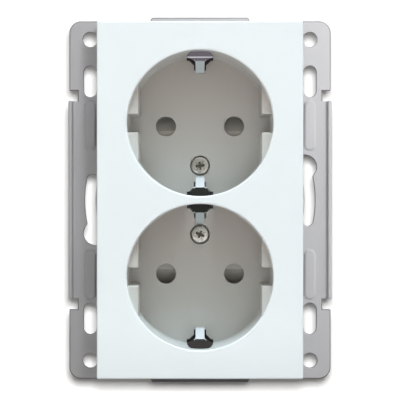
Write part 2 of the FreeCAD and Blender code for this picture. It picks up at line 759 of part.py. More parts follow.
def screw_pillar():
    """The pillar that holds the upper cover nut and stops the upper spring."""
    pillar = block(
        -PILLAR_HALF, PILLAR_HALF, PILLAR_Y, RECESS_Y,
        WELL_Z - PILLAR_END, WELL_Z - PILLAR_TOP,
    )
    spigot = Part.makeCylinder(
        SPIGOT_RADIUS, SPIGOT + GAP, Vector(0, SPRING_Y, WELL_Z - PILLAR_TOP - GAP)
    )
    return pillar.fuse(spigot)


def carrier_shell():
    """The carrier's outside: front flange, deck block and rear chamber walls."""
    flange = rounded_block(
        OPENING_WIDTH + 2 * FLANGE_LAP, OPENING_HEIGHT + 2 * FLANGE_LAP,
        CARRIER_CORNER + FLANGE_LAP, FLANGE_Y, -SHEET,
    )
    body = rounded_block(BODY_WIDTH, BODY_HEIGHT, CARRIER_CORNER, FLANGE_Y, DECK_BACK_Y)
    rear = rounded_block(REAR_WIDTH, REAR_HEIGHT, REAR_CORNER, DECK_BACK_Y, REAR_Y)
    chamber = rounded_block(
        REAR_WIDTH - 2 * REAR_WALL, REAR_HEIGHT - 2 * REAR_WALL,
        REAR_CORNER - REAR_WALL, DECK_BACK_Y, REAR_Y + GAP,
    )
    return flange.fuse([body, rear] + four_quarters(snap_lug())).cut(chamber)


def contact_carrier():
    """The insulating base behind the cover."""
    carrier = carrier_shell()
    cuts = [rod(CAVITY_RADIUS, FLANGE_Y - GAP, CUP_BACK_Y, 0, WELL_Z), shutter_recess()]
    for x in (PIN_X, -PIN_X):
        cuts.append(rod(PIN_HOLE_RADIUS, RECESS_Y - GAP, DECK_BACK_Y + GAP, x, WELL_Z))
    slot_half = CLIP_TONGUE / 2 + GAP
    foot_half = CLIP_SHEET / 2 + CLIP_BEND + GAP
    cuts.append(
        block(
            -slot_half, slot_half, CUP_BACK_Y - GAP, DECK_BACK_Y + GAP,
            CLIP_FOOT_Z - foot_half, CLIP_FOOT_Z + foot_half,
        )
    )
    carrier = carrier.cut(cuts + [turned(cut) for cut in cuts])
    middle_half = MIDDLE_CLIP_WIDTH / 2 + GAP
    middle_reach = WELL_Z - CLIP_FOOT + foot_half
    carrier = carrier.cut(
        block(
            -middle_half, middle_half, CUP_BACK_Y - GAP, DECK_BACK_Y + GAP,
            -middle_reach, middle_reach,
        )
    )
    pillar = screw_pillar()
    wall_x = REAR_WIDTH / 2 - REAR_WALL + GAP
    wall_z = REAR_HEIGHT / 2 - REAR_WALL + GAP
    divider = block(CHANNEL_HALF, DIVIDER_OUTER, DECK_BACK_Y - GAP, REAR_Y, -wall_z, wall_z)
    crest_half = REAR_WINDOW_HEIGHT / 2 - GAP
    crest = block(
        CHANNEL_HALF, DIVIDER_OUTER, REAR_Y - GAP, REAR_COVER_BACK_Y + DIVIDER_PROUD,
        -crest_half, crest_half,
    )
    adds = [pillar, turned(pillar)] + both_sides(divider) + both_sides(crest)
    for z in (SUPPORT_RIB_INNER, SUPPORT_RIB_OUTER):
        rib = block(
            CHANNEL_HALF + GAP, wall_x, DECK_BACK_Y - GAP, STRIP_Y,
            z - SUPPORT_RIB / 2, z + SUPPORT_RIB / 2,
        )
        adds += four_quarters(rib)
    adds += four_quarters(
        rod(REAR_BOSS_RADIUS, DECK_BACK_Y - GAP, REAR_Y, REAR_SCREW_X, REAR_SCREW_Z)
    )
    carrier = carrier.fuse(adds)
    nut_half = NUT_WIDTH / 2 + SLIP
    rivet_pocket = RIVET_HEAD_RADIUS + GAP
    holes = [
        rod(rivet_pocket, DECK_BACK_Y - RIVET_HEAD - GAP, DECK_BACK_Y + GAP, 0, BRACKET_RIVET),
        rod(BOSS_RADIUS + GAP, CUP_BACK_Y - GAP, PILLAR_Y, 0, SCREW_Z),
        rod(SCREW_RADIUS + GAP, PILLAR_Y - GAP, DECK_BACK_Y, 0, SCREW_Z),
        block(
            -nut_half, nut_half, NUT_Y, DECK_BACK_Y + GAP, SCREW_Z - nut_half, SCREW_Z + nut_half
        ),
    ]
    holes = holes + [turned(hole) for hole in holes]
    holes += four_quarters(
        rod(
            REAR_SCREW_RADIUS + SLIP, REAR_COVER_BACK_Y - REAR_SCREW_LENGTH - GAP,
            REAR_Y + GAP, REAR_SCREW_X, REAR_SCREW_Z,
        )
    )
    return one_solid(carrier.cut(holes))


def rear_cover():
    """The insulating plate over the contact chambers, open at the terminals."""
    plate = rounded_block(REAR_WIDTH, REAR_HEIGHT, REAR_CORNER, REAR_Y, REAR_COVER_BACK_Y)
    rim = [edge for edge in plate.Edges if edge.BoundBox.YMin > REAR_COVER_BACK_Y - SLIP]
    plate = plate.makeChamfer(REAR_GAP, rim)
    window = rounded_block(
        REAR_WINDOW_WIDTH, REAR_WINDOW_HEIGHT, REAR_WINDOW_CORNER,
        REAR_Y - GAP, REAR_COVER_BACK_Y + GAP,
    )
    half = STRIP_WIDTH / 2
    pads = []
    for z in (SUPPORT_RIB_INNER, SUPPORT_RIB_OUTER):
        pads += four_quarters(
            block(
                PIN_X - half, PIN_X + half, STRIP_BACK_Y, REAR_Y + GAP,
                z - SUPPORT_RIB / 2, z + SUPPORT_RIB / 2,
            )
        )
    through = rod(
        REAR_SCREW_RADIUS + GAP, REAR_Y - GAP, REAR_COVER_BACK_Y + GAP, REAR_SCREW_X, REAR_SCREW_Z
    )
    sink = taper(
        REAR_SCREW_RADIUS + SLIP, REAR_SCREW_HEAD_RADIUS + SLIP,
        REAR_COVER_BACK_Y - REAR_SCREW_HEAD_RADIUS + REAR_SCREW_RADIUS, REAR_COVER_BACK_Y,
        REAR_SCREW_X, REAR_SCREW_Z,
    )
    cuts = [window] + four_quarters(through) + four_quarters(sink)
    return one_solid(plate.fuse(pads).cut(cuts))


def shutter():
    """The upper shutter: one slider with a ramp and a land behind each pin hole."""
    foot_z = WELL_Z - SHUTTER_FOOT
    top_z = WELL_Z + SHUTTER_TOP
    half = SHUTTER_WIDTH / 2
    body = block(-half, half, SHUTTER_Y, SHUTTER_BACK_Y, foot_z, top_z)
    notch = block(
        -SHUTTER_NOTCH, SHUTTER_NOTCH, SHUTTER_Y - GAP, SHUTTER_BACK_Y + GAP,
        foot_z - GAP, WELL_Z + NOTCH_TOP,
    )
    depth = SHUTTER_THICKNESS - RAMP_FLOOR
    land_z = WELL_Z - SHUTTER_LAND
    run = depth / math.tan(math.radians(RAMP_ANGLE))
    inner = PIN_X - RAMP_INNER
    profile = [
        Vector(inner, SHUTTER_Y, land_z),
        Vector(inner, SHUTTER_Y + depth, land_z + run),
        Vector(inner, SHUTTER_Y + depth, top_z + GAP),
        Vector(inner, SHUTTER_Y, top_z + GAP),
    ]
    ramp = prism(profile, Vector(half - RAMP_SIDE - inner, 0, 0))
    spigot = Part.makeCylinder(
        SPIGOT_RADIUS, SPIGOT + GAP, Vector(0, SPRING_Y, WELL_Z + NOTCH_TOP - SPIGOT)
    )
    return one_solid(body.cut([notch] + both_sides(ramp)).fuse(spigot))


def shutter_spring():
    """The upper compression spring, of square wire, between the shutter's bridge and the pillar."""
    half = SPRING_WIRE / 2
    bottom = WELL_Z - PILLAR_TOP + half + SLIP
    top = WELL_Z + NOTCH_TOP - half - SLIP
    height = top - bottom
    helix = Part.makeHelix(height / SPRING_TURNS, height, SPRING_RADIUS)
    inner = SPRING_RADIUS - half
    outer = SPRING_RADIUS + half
    corners = [(inner, -half), (outer, -half), (outer, half), (inner, half), (inner, -half)]
    section = Part.makePolygon([Vector(x, 0, z) for x, z in corners])
    coil = Part.Wire(helix.Edges).makePipeShell([section], True, True)
    return moved(coil, y=SPRING_Y, z=bottom)


def contact_strip():
    """The right-hand sheet brass strip: a pair of leaves at each pin, and the pad."""
    base_y = (STRIP_Y + STRIP_BACK_Y) / 2
    grip_y = STRIP_BACK_Y - LEAF_GRIP_BACK
    mouth_y = STRIP_BACK_Y - LEAF_MOUTH_BACK
    right = [(LEAF_ROOT, base_y), (LEAF_GRIP, grip_y), (LEAF_MOUTH, mouth_y)]
    left = [(-x, y) for x, y in reversed(right)]
    line = [Vector(PIN_X + x, y, 0) for x, y in left + right]
    leaves = folded(line, STRIP_SHEET, LEAF_BEND, Vector(0, 0, LEAF_WIDTH))
    half = STRIP_WIDTH / 2
    end = STRIP_HEIGHT / 2
    pad_half = PAD_HEIGHT / 2
    base = block(PIN_X - half, PIN_X + half, STRIP_Y, STRIP_BACK_Y, -end, end)
    pad = block(PIN_X - half, PAD_OUTER, STRIP_Y, STRIP_BACK_Y, -pad_half, pad_half)
    adds = [pad, moved(leaves, z=WELL_Z), moved(leaves, z=-WELL_Z)]
    return one_solid(with_collars(base.fuse(adds), TERMINAL_X))


def with_collars(strip, x):
    """Adds the drawn collars for both terminal screws, and bores them."""
    places = (TERMINAL_PITCH / 2, -TERMINAL_PITCH / 2)
    collars = [rod(COLLAR_RADIUS, STRIP_Y - COLLAR, STRIP_BACK_Y, x, z) for z in places]
    bore = TERMINAL_SCREW_RADIUS + SLIP
    bores = [rod(bore, STRIP_Y - COLLAR - GAP, STRIP_BACK_Y + GAP, x, z) for z in places]
    return strip.fuse(collars).cut(bores)


def rivet_bore(z):
    """What a rivet's shank takes out of the earth sheets."""
    return rod(RIVET_RADIUS + SLIP, CUP_BACK_Y, STRIP_Y, 0, z)


def earth_strip():
    """The long earth strip, whose bent ends are the two outer clips."""
    back = DECK_BACK_Y + CLIP_SHEET / 2
    top = clip_line(WELL_Z, 1) + [Vector(0, back, CLIP_FOOT_Z)]
    bottom = clip_line(-WELL_Z, -1) + [Vector(0, back, -CLIP_FOOT_Z)]
    sheet = folded(top + bottom[::-1], CLIP_SHEET, CLIP_BEND, Vector(EARTH_WIDTH, 0, 0))
    tongue = CLIP_TONGUE / 2
    half = [
        (tongue, -EARTH_TAPER_END - GAP),
        (tongue, -EARTH_TAPER_END),
        (EARTH_WIDTH / 2, -EARTH_TAPER_START),
        (EARTH_WIDTH / 2, EARTH_TAPER_START),
        (tongue, EARTH_TAPER_END),
        (tongue, EARTH_TAPER_END + GAP),
    ]
    strip_back = DECK_BACK_Y + 2 * CLIP_SHEET
    blank = front_prism(symmetric(half), RECESS_Y, strip_back)
    wide_y = FRONT_Y + CLIP_SHOULDER_DEPTH - GAP
    clip = clip_blank(OUTER_HEAD_WIDTH, wide_y, EARTH_TAPER_END, COVER_HEIGHT / 2, strip_back)
    outline = blank.fuse([clip, turned(clip)])
    cuts = [rivet_bore(z) for z in (0, BRACKET_RIVET, -BRACKET_RIVET)]
    corners = outer_corners()
    cuts += corners + [turned(corner) for corner in corners]
    return one_solid(sheet.common(outline).cut(cuts))


def middle_earth_clip():
    """The short earth clip whose two tongues serve both wells."""
    back = DECK_BACK_Y - CLIP_SHEET / 2
    foot = WELL_Z - CLIP_FOOT
    top = clip_line(WELL_Z, -1) + [Vector(0, back, foot)]
    bottom = clip_line(-WELL_Z, 1) + [Vector(0, back, -foot)]
    sheet = folded(top + bottom[::-1], CLIP_SHEET, CLIP_BEND, Vector(CLIP_HEAD_WIDTH, 0, 0))
    wide = MIDDLE_CLIP_WIDTH / 2
    base = block(
        -wide, wide, DECK_BACK_Y - CLIP_SHEET, DECK_BACK_Y, -foot + CLIP_SHEET, foot - CLIP_SHEET
    )
    tip_y = FRONT_Y + CLIP_TIP_DEPTH
    outline = clip_blank(CLIP_HEAD_WIDTH, tip_y, -WELL_Z, WELL_Z, DECK_BACK_Y + GAP)
    upper = sheet.common(outline).common(block(-WELL_Z, WELL_Z, FRONT_Y, REAR_Y, 0, WELL_Z))
    upper = upper.cut(clip_corners(WELL_Z, -1))
    clip = upper.fuse([turned(upper), base])
    return one_solid(clip.cut(rivet_bore(0)))


def earth_terminal():
    """The earth bracket: a bridge with two threaded holes, riveted to the strip."""
    low = DECK_BACK_Y + CLIP_SHEET + STRIP_SHEET / 2
    high = (STRIP_Y + STRIP_BACK_Y) / 2
    line = [
        Vector(0, low, BRACKET_FOOT),
        Vector(0, low, BRACKET_RISE),
        Vector(0, high, BRACKET_RISE),
        Vector(0, high, -BRACKET_RISE),
        Vector(0, low, -BRACKET_RISE),
        Vector(0, low, -BRACKET_FOOT),
    ]
    bracket = folded(line, STRIP_SHEET, LEAF_BEND, Vector(EARTH_WIDTH, 0, 0))
    bores = [rivet_bore(z) for z in (BRACKET_RIVET, -BRACKET_RIVET)]
    return one_solid(with_collars(bracket.cut(bores), 0))


def rivet(z, front_y, back_y):
    """A tubular rivet's stand-in: a shank with a head on each side."""
    shank = rod(RIVET_RADIUS, front_y - RIVET_HEAD, back_y + RIVET_HEAD, 0, z)
    front = rod(RIVET_HEAD_RADIUS, front_y - RIVET_HEAD, front_y, 0, z)
    back = rod(RIVET_HEAD_RADIUS, back_y, back_y + RIVET_HEAD, 0, z)
    return one_solid(shank.fuse([front, back]))


def recessed_head(radius, height, head_y, x, z, facing, turn):
    """A round screw head with a combined cross and slot recess in its outer face."""
    y0, y1 = sorted((head_y, head_y - facing * height))
    head = rod(radius, y0, y1, x, z)
    rim = [
        edge
        for edge in head.Edges
        if abs(edge.BoundBox.YMax - edge.BoundBox.YMin) < SLIP
        and abs(edge.BoundBox.YMax - head_y) < SLIP
    ]
    head = head.makeChamfer(SCREW_HEAD_EDGE, rim)
    r0, r1 = sorted((head_y + facing * GAP, head_y - facing * RECESS_DEPTH))
    arms = [
        (RECESS_SLOT, RECESS_SLOT_WIDTH),
        (RECESS_CROSS_WIDTH, RECESS_CROSS),
        (RECESS_CROSS, RECESS_CROSS_WIDTH),
    ]
    for width, height in arms:
        arm = block(-width / 2, width / 2, r0, r1, -height / 2, height / 2)
        head = head.cut(moved(turned(arm, -turn), x=x, z=z))
    return head


def cover_screw(z, turn):
    """A machine screw that holds the cover to the carrier's nut."""
    head = recessed_head(SCREW_HEAD_RADIUS, SCREW_HEAD, FLOOR_Y - SCREW_PROUD, 0, z, -1, turn)
    shank = rod(SCREW_RADIUS, HEAD_BACK_Y, HEAD_BACK_Y + SCREW_LENGTH, 0, z)
    return one_solid(head.fuse(shank))


def cover_nut(z):
    """A square nut in its pocket."""
    half = NUT_WIDTH / 2
    nut = block(-half, half, NUT_Y + SLIP, NUT_Y + SLIP + NUT, z - half, z + half)
    return nut.cut(rod(SCREW_RADIUS + SLIP, NUT_Y - GAP, NUT_Y + NUT + GAP, 0, z))


def clamp_washer(x, z):
    """A square washer with clipped corners that clamps the wires on a terminal pad."""
    half = WASHER_WIDTH / 2
    plate = block(x - half, x + half, STRIP_BACK_Y, STRIP_BACK_Y + WASHER, z - half, z + half)
    plate = plate.makeChamfer(WASHER_EDGE, [edge for edge in plate.Edges if along_y(edge)])
    hole = rod(
        TERMINAL_SCREW_RADIUS + SLIP, STRIP_BACK_Y - GAP, STRIP_BACK_Y + WASHER + GAP, x, z
    )
    return plate.cut(hole)


def terminal_screw(x, z):
    """A terminal screw, seated on its clamp washer."""
    seat = STRIP_BACK_Y + WASHER
    head = recessed_head(TERMINAL_HEAD_RADIUS, TERMINAL_HEAD, seat + TERMINAL_HEAD, x, z, 1, 0)
    shank = rod(TERMINAL_SCREW_RADIUS, seat - TERMINAL_SCREW_LENGTH, seat, x, z)
    return one_solid(head.fuse(shank))


def rear_screw(x, z):
    """A countersunk self-tapping screw in the rear cover."""
    sink = REAR_SCREW_HEAD_RADIUS - REAR_SCREW_RADIUS
    head = taper(
        REAR_SCREW_RADIUS, REAR_SCREW_HEAD_RADIUS, REAR_COVER_BACK_Y - sink, REAR_COVER_BACK_Y, x, z
    )
    shank = rod(
        REAR_SCREW_RADIUS, REAR_COVER_BACK_Y - REAR_SCREW_LENGTH, REAR_COVER_BACK_Y - sink, x, z
    )
    slot = block(
        x - REAR_SCREW_HEAD_RADIUS, x + REAR_SCREW_HEAD_RADIUS,
        REAR_COVER_BACK_Y - RECESS_CROSS_WIDTH, REAR_COVER_BACK_Y + GAP,
        z - RECESS_CROSS_WIDTH / 2, z + RECESS_CROSS_WIDTH / 2,
    )
    return one_solid(head.fuse(shank).cut(slot))


def all_parts():
    """Every piece of the socket, by its node's name."""
    parts = {
        "support_frame": support_frame(),
        "cover_plate": cover_plate(),
        "contact_carrier": contact_carrier(),
        "rear_cover": rear_cover(),
        "upper_shutter": shutter(),
        "lower_shutter": turned(shutter()),
        "upper_shutter_spring": shutter_spring(),
        "lower_shutter_spring": turned(shutter_spring()),
        "neutral_contact_strip": contact_strip(),
        "line_contact_strip": turned(contact_strip()),
        "earth_strip": earth_strip(),
        "middle_earth_clip": middle_earth_clip(),
        "earth_terminal": earth_terminal(),
        "middle_clip_rivet": rivet(0, DECK_BACK_Y - CLIP_SHEET, DECK_BACK_Y + CLIP_SHEET),
        "upper_cover_screw": cover_screw(SCREW_Z, UPPER_SCREW_TURN),
        "lower_cover_screw": cover_screw(-SCREW_Z, LOWER_SCREW_TURN),
        "upper_cover_nut": cover_nut(SCREW_Z),
        "lower_cover_nut": cover_nut(-SCREW_Z),
    }
    bracket_back = DECK_BACK_Y + CLIP_SHEET + STRIP_SHEET
    poles = {"line": -TERMINAL_X, "earth": 0.0, "neutral": TERMINAL_X}
    for level, side in (("upper", 1), ("lower", -1)):
        parts[f"{level}_bracket_rivet"] = rivet(side * BRACKET_RIVET, DECK_BACK_Y, bracket_back)
        for pole, x in poles.items():
            z = side * TERMINAL_PITCH / 2
            parts[f"{pole}_{level}_terminal_screw"] = terminal_screw(x, z)
            parts[f"{pole}_{level}_clamp_washer"] = clamp_washer(x, z)
        for hand, x in (("left", -REAR_SCREW_X), ("right", REAR_SCREW_X)):
            parts[f"rear_screw_{level}_{hand}"] = rear_screw(x, side * REAR_SCREW_Z)
    return parts


os.makedirs("parts", exist_ok=True)
for node, shape in all_parts().items():
    shape.exportStep(f"parts/{node}.step")
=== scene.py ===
import json
import logging
import math
from collections.abc import Callable, Iterator
from contextlib import contextmanager
from dataclasses import dataclass, field
from enum import Enum

import bpy
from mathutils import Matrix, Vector


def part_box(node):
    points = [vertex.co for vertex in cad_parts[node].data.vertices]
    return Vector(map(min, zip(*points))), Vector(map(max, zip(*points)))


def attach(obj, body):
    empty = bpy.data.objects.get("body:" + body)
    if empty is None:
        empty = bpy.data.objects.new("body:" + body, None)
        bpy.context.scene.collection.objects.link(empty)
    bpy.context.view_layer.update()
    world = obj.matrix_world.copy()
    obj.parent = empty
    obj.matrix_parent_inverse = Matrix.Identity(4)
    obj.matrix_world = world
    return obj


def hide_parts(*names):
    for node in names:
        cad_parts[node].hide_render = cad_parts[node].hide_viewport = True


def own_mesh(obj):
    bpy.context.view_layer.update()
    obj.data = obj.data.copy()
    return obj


# The twin socket's looks: finishes, small fasteners, springs, stage, light and camera.
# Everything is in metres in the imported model's frame: X right, Y into the wall, Z up.
# Small pieces are shaped in millimetres and brought to metres when they are finished.
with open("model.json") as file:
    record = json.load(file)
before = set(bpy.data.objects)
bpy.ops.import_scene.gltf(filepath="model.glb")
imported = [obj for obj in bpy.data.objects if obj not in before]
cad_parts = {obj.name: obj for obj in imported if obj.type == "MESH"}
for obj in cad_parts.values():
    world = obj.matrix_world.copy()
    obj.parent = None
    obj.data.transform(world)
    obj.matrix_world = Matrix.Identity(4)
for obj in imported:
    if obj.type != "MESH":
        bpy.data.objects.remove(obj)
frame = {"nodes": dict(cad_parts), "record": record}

MM = 0.001
WELL_Z = 20.55 * MM  # height of the upper well's centre
RIM_Y = -10.6 * MM  # depth at which a well's wall starts
CLOUD = 9 * MM  # size of a colour's slow changes
CREASE = math.radians(35)  # sharpest angle that is still shaded smooth
MERGE = 0.001 * MM  # distance at which a copy's points become one
FLAT = math.radians(0.3)  # angle below which a copy's faces become one
EVEN = (1.0, 1.0, 1.0)  # stretch of a pattern without direction
UPRIGHT = (math.pi / 2, 0, 0)  # turn that brings a flat shape or the camera upright
LEVELS = ("upper", "lower")
POLES = ("line", "earth", "neutral")
LOG = logging.getLogger("twin_socket")

Material = bpy.types.Material
Node = bpy.types.Node
Piece = bpy.types.Object
Socket = bpy.types.NodeSocket
Pair = tuple[float, float]
Pairs = tuple[Pair, ...]
Triple = tuple[float, float, float]
Colour = Triple


class Slot(Enum):
    """The record's material slots."""

    WHITE = "white_plastic"
    CARRIER = "carrier_plastic"
    REAR = "rear_plastic"
    SHUTTER = "shutter_plastic"
    SHEET = "galvanised_sheet"
    SPRING = "spring_steel"
    BRASS = "contact_brass"
    RIVET = "rivet_brass"
    CLIP = "earth_clip_metal"
    SCREW = "zinc_screw"
    CLAMP = "clamp_steel"


class Extra(Enum):
    """Finishes that a piece has beside its slot's own."""

    RECESS = "shaded_recess"
    CUT_EDGE = "sheared_edge_and_painted_shade"


class Nodes:
    """Adds nodes to one node tree."""

    def __init__(self, tree: bpy.types.NodeTree) -> None:
        """Takes the tree to work on."""
        self.tree = tree

    def node(self, kind: str, **settings: object) -> Node:
        """Adds a node.

        Args:
            kind: The node's type.
            settings: Attributes of the node.

        Returns:
            The new node.
        """
        made = self.tree.nodes.new(kind)
        for name, value in settings.items():
            setattr(made, name, value)
        return made

    def link(self, source: Socket, target: Socket) -> None:
        """Joins an output to an input."""
        self.tree.links.new(source, target)

    def joined(self, kind: str, first: Node, second: Node) -> Node:
        """Adds a node that joins two shaders.

        Args:
            kind: The node's type.
            first: The first shader.
            second: The second shader.

        Returns:
            The new node.
        """
        made = self.node(kind)
        self.link(first.outputs[0], made.inputs[-2])
        self.link(second.outputs[0], made.inputs[-1])
        return made

    def math(self, operation: str, first: Socket | float, second: Socket | float = 0.0) -> Socket:
        """Adds one sum of two values.

        Args:
            operation: The sum's name in the math node.
            first: Its first value.
            second: Its second value.

        Returns:
            The result.
        """
        made = self.node("ShaderNodeMath", operation=operation)
        for socket, value in zip(made.inputs, (first, second)):
            if isinstance(value, float):
                socket.default_value = value
            else:
                self.link(value, socket)
        return made.outputs[0]

    def remap(
        self,
        value: Socket,
        start: float,
        end: float,
        low: float = 0.0,
        high: float = 1.0,
        kind: str = "SMOOTHSTEP",
    ) -> Socket:
        """Maps a value between two limits to two others.

        Args:
            value: The value.
            start: Where the change starts.
            end: Where it ends.
            low: Result at the start.
            high: Result at the end.
            kind: How it changes between them.

        Returns:
            The mapped value.
        """
        made = self.node("ShaderNodeMapRange", interpolation_type=kind)
        for name, number in zip(("From Min", "From Max", "To Min", "To Max"), (start, end, low, high)):
            made.inputs[name].default_value = number
        self.link(value, made.inputs["Value"])
        return made.outputs["Result"]

    def seen_rays(self) -> Socket:
        """Tells the rays that show a surface from those that light it.

        Returns:
            A value that is 1 for camera, glossy and transmission rays, and 0 for the rest.
        """
        path = self.node("ShaderNodeLightPath")
        seen = self.math("MAXIMUM", path.outputs["Is Camera Ray"], path.outputs["Is Glossy Ray"])
        return self.math("MAXIMUM", seen, path.outputs["Is Transmission Ray"])


class Mixer(Nodes):
    """Builds one material."""

    def __init__(self, name: str) -> None:
        """Starts a material that holds one principled shader.

        Args:
            name: The material's name.
        """
        self.material = bpy.data.materials.new(name)
        self.material.use_nodes = True
        super().__init__(self.material.node_tree)
        self.shader = self.tree.nodes["Principled BSDF"]
        self.place = self.node("ShaderNodeTexCoord").outputs["Object"]

    def noise(self, grain: float, stretch: Triple = EVEN) -> Socket:
        """Adds a noise pattern.

        Args:
            grain: Size of its features.
            stretch: How many times longer they are along each axis.

        Returns:
            The pattern, about one half on average.
        """
        mapping = self.node("ShaderNodeMapping")
        mapping.inputs["Scale"].default_value = [1.0 / (grain * part) for part in stretch]
        noise = self.node("ShaderNodeTexNoise")
        noise.inputs["Scale"].default_value = 1.0
        noise.inputs["Detail"].default_value = 3.0
        self.link(self.place, mapping.inputs["Vector"])
        self.link(mapping.outputs["Vector"], noise.inputs["Vector"])
        return noise.outputs["Fac"]

    def axes(self) -> tuple[Socket, Socket, Socket]:
        """Gives the place on the piece as three values."""
        split = self.node("ShaderNodeSeparateXYZ")
        self.link(self.place, split.inputs[0])
        return tuple(split.outputs)

    def well_rise(self) -> Socket:
        """Gives the height over the nearer well's centre, counted away from the socket's middle."""
        return self.math("SUBTRACT", self.math("ABSOLUTE", self.axes()[2]), WELL_Z)

    def well_distance(self) -> Socket:
        """Gives the distance from the nearer well's centre line."""
        ways = (self.axes()[0], self.well_rise())
        squares = [self.math("MULTIPLY", way, way) for way in ways]
        return self.math("SQRT", self.math("ADD", *squares))

    def spread(self, pattern: Socket, low: float, high: float) -> Socket:
        """Maps a pattern's middle range to new limits."""
        return self.remap(pattern, 0.3, 0.7, low, high, "LINEAR")

    def blend(self, factor: Socket, first: Colour | Socket, second: Colour | Socket) -> Socket:
        """Mixes two colours by a pattern.

        Args:
            factor: The pattern, between 0 and 1.
            first: Colour at 0.
            second: Colour at 1.

        Returns:
            The mixed colour.
        """
        mix = self.node("ShaderNodeMix", data_type="RGBA")
        colours = [one for one in mix.inputs if one.type == "RGBA"]
        for socket, colour in zip(colours, (first, second)):
            if isinstance(colour, tuple):
                socket.default_value = (*colour, 1.0)
            else:
                self.link(colour, socket)
        self.link(factor, mix.inputs["Factor"])
        return next(one for one in mix.outputs if one.type == "RGBA")

    def varied(self, pattern: Socket, colour: Colour, share: float) -> Socket:
        """Makes a colour darker and lighter by a share, after a pattern."""
        return self.blend(pattern, tinted(colour, 1 - share), tinted(colour, 1 + share))

    def finish(self, colour: Socket, rough: Socket, pattern: Socket, height: float) -> Material:
        """Gives the shader its colour, roughness and relief.

        Args:
            colour: The colour.
            rough: The roughness.
            pattern: The relief's pattern.
            height: The relief's height between 0 and 1 of the pattern.

        Returns:
            The finished material.
        """
        bump = self.node("ShaderNodeBump")
        bump.inputs["Strength"].default_value = 1.0
        bump.inputs["Distance"].default_value = height
        self.link(pattern, bump.inputs["Height"])
        values = {"Base Color": colour, "Roughness": rough, "Normal": bump.outputs["Normal"]}
        for name, value in values.items():
            self.link(value, self.shader.inputs[name])
        return self.material


def tinted(colour: Colour, share: float) -> Colour:
    """A colour with each part multiplied by one share, kept below 1."""
    return tuple(min(1.0, part * share) for part in colour)


@dataclass(frozen=True)
class Finish:
    """What every finish has. Sizes and heights are in metres."""

    name: str
    colour: Colour
    roughness: float  # its middle roughness

    def make(self) -> Material:
        """Builds the material."""
        raise NotImplementedError


@dataclass(frozen=True)
class PlasticFinish(Finish):
    """A moulded plastic with a fine surface texture."""

    variation: float = 0.01  # share by which the colour varies
    grain: float = 0.4 * MM  # size of the surface texture
    height: float = 0.002 * MM  # height of the surface texture
    patch: float = 3 * MM  # size of the changes of roughness

    def make(self) -> Material:
        """Builds the material."""
        mixer = Mixer(self.name)
        colour = mixer.varied(mixer.noise(CLOUD), self.colour, self.variation)
        rough = mixer.spread(mixer.noise(self.patch), self.roughness * 0.9, self.roughness * 1.1)
        return mixer.finish(colour, rough, mixer.noise(self.grain), self.height)


@dataclass(frozen=True)
class CoverFinish(Finish):
    """The cover's glossy white, with painted shade in the wells: greyer and matt inside them, darker and
    warmer towards each well's upper side, lighter and cooler towards its lower side.
    """

    well_top_painted_shade: Colour  # painted shade deep in the wells, at their upper side
    well_low_painted_shade: Colour  # the lighter, cooler painted shade at their lower side
    well_roughness: float = 0.42
    well_radius: float = 19.8 * MM  # where a well's wall is, from its centre line
    deep_y: float = -9.3 * MM  # depth from which the wells' painted shade is full
    wall_radius: float = 19.15 * MM  # where the floor ends and the wall starts
    wall_share: float = 0.6  # how much of the wells' painted shade the wall has
    top_rise: float = 18.0 * MM  # height over the well's centre from which the upper painted shade is full
    low_rise: float = -14.0 * MM  # height below which the lower painted shade is full
    soft: float = 0.4 * MM  # width over which one colour runs into the next
    variation: float = 0.008  # share by which the front's colour varies
    grain: float = 0.4 * MM  # size of the surface texture
    height: float = 0.0015 * MM  # height of the surface texture

    def make(self) -> Material:
        """Builds the material."""
        mixer = Mixer(self.name)
        _, depth, upward = mixer.axes()
        distance = mixer.well_distance()
        inside = mixer.remap(distance, self.well_radius, self.well_radius + self.soft, 1.0, 0.0)
        deep = mixer.remap(depth, RIM_Y, self.deep_y)
        wall_end = self.wall_radius + self.soft
        wall = mixer.remap(distance, self.wall_radius, wall_end, 1.0, self.wall_share)
        # painted shade: the wells' grey stands in for the shade deep in them, and their walls get part
        # of it
        matt_and_painted_shade = mixer.math("MULTIPLY", mixer.math("MULTIPLY", inside, deep), wall)
        front = mixer.varied(mixer.noise(CLOUD), self.colour, self.variation)
        rise = mixer.math("MULTIPLY", mixer.well_rise(), mixer.math("SIGN", upward))
        # painted shade and light: darker at each well's upper side, lighter at its lower side
        well = mixer.blend(mixer.remap(rise, self.low_rise, self.top_rise), self.well_low_painted_shade, self.well_top_painted_shade)
        rough = mixer.remap(matt_and_painted_shade, 0.0, 1.0, self.roughness, self.well_roughness)
        return mixer.finish(mixer.blend(matt_and_painted_shade, front, well), rough, mixer.noise(self.grain), self.height)


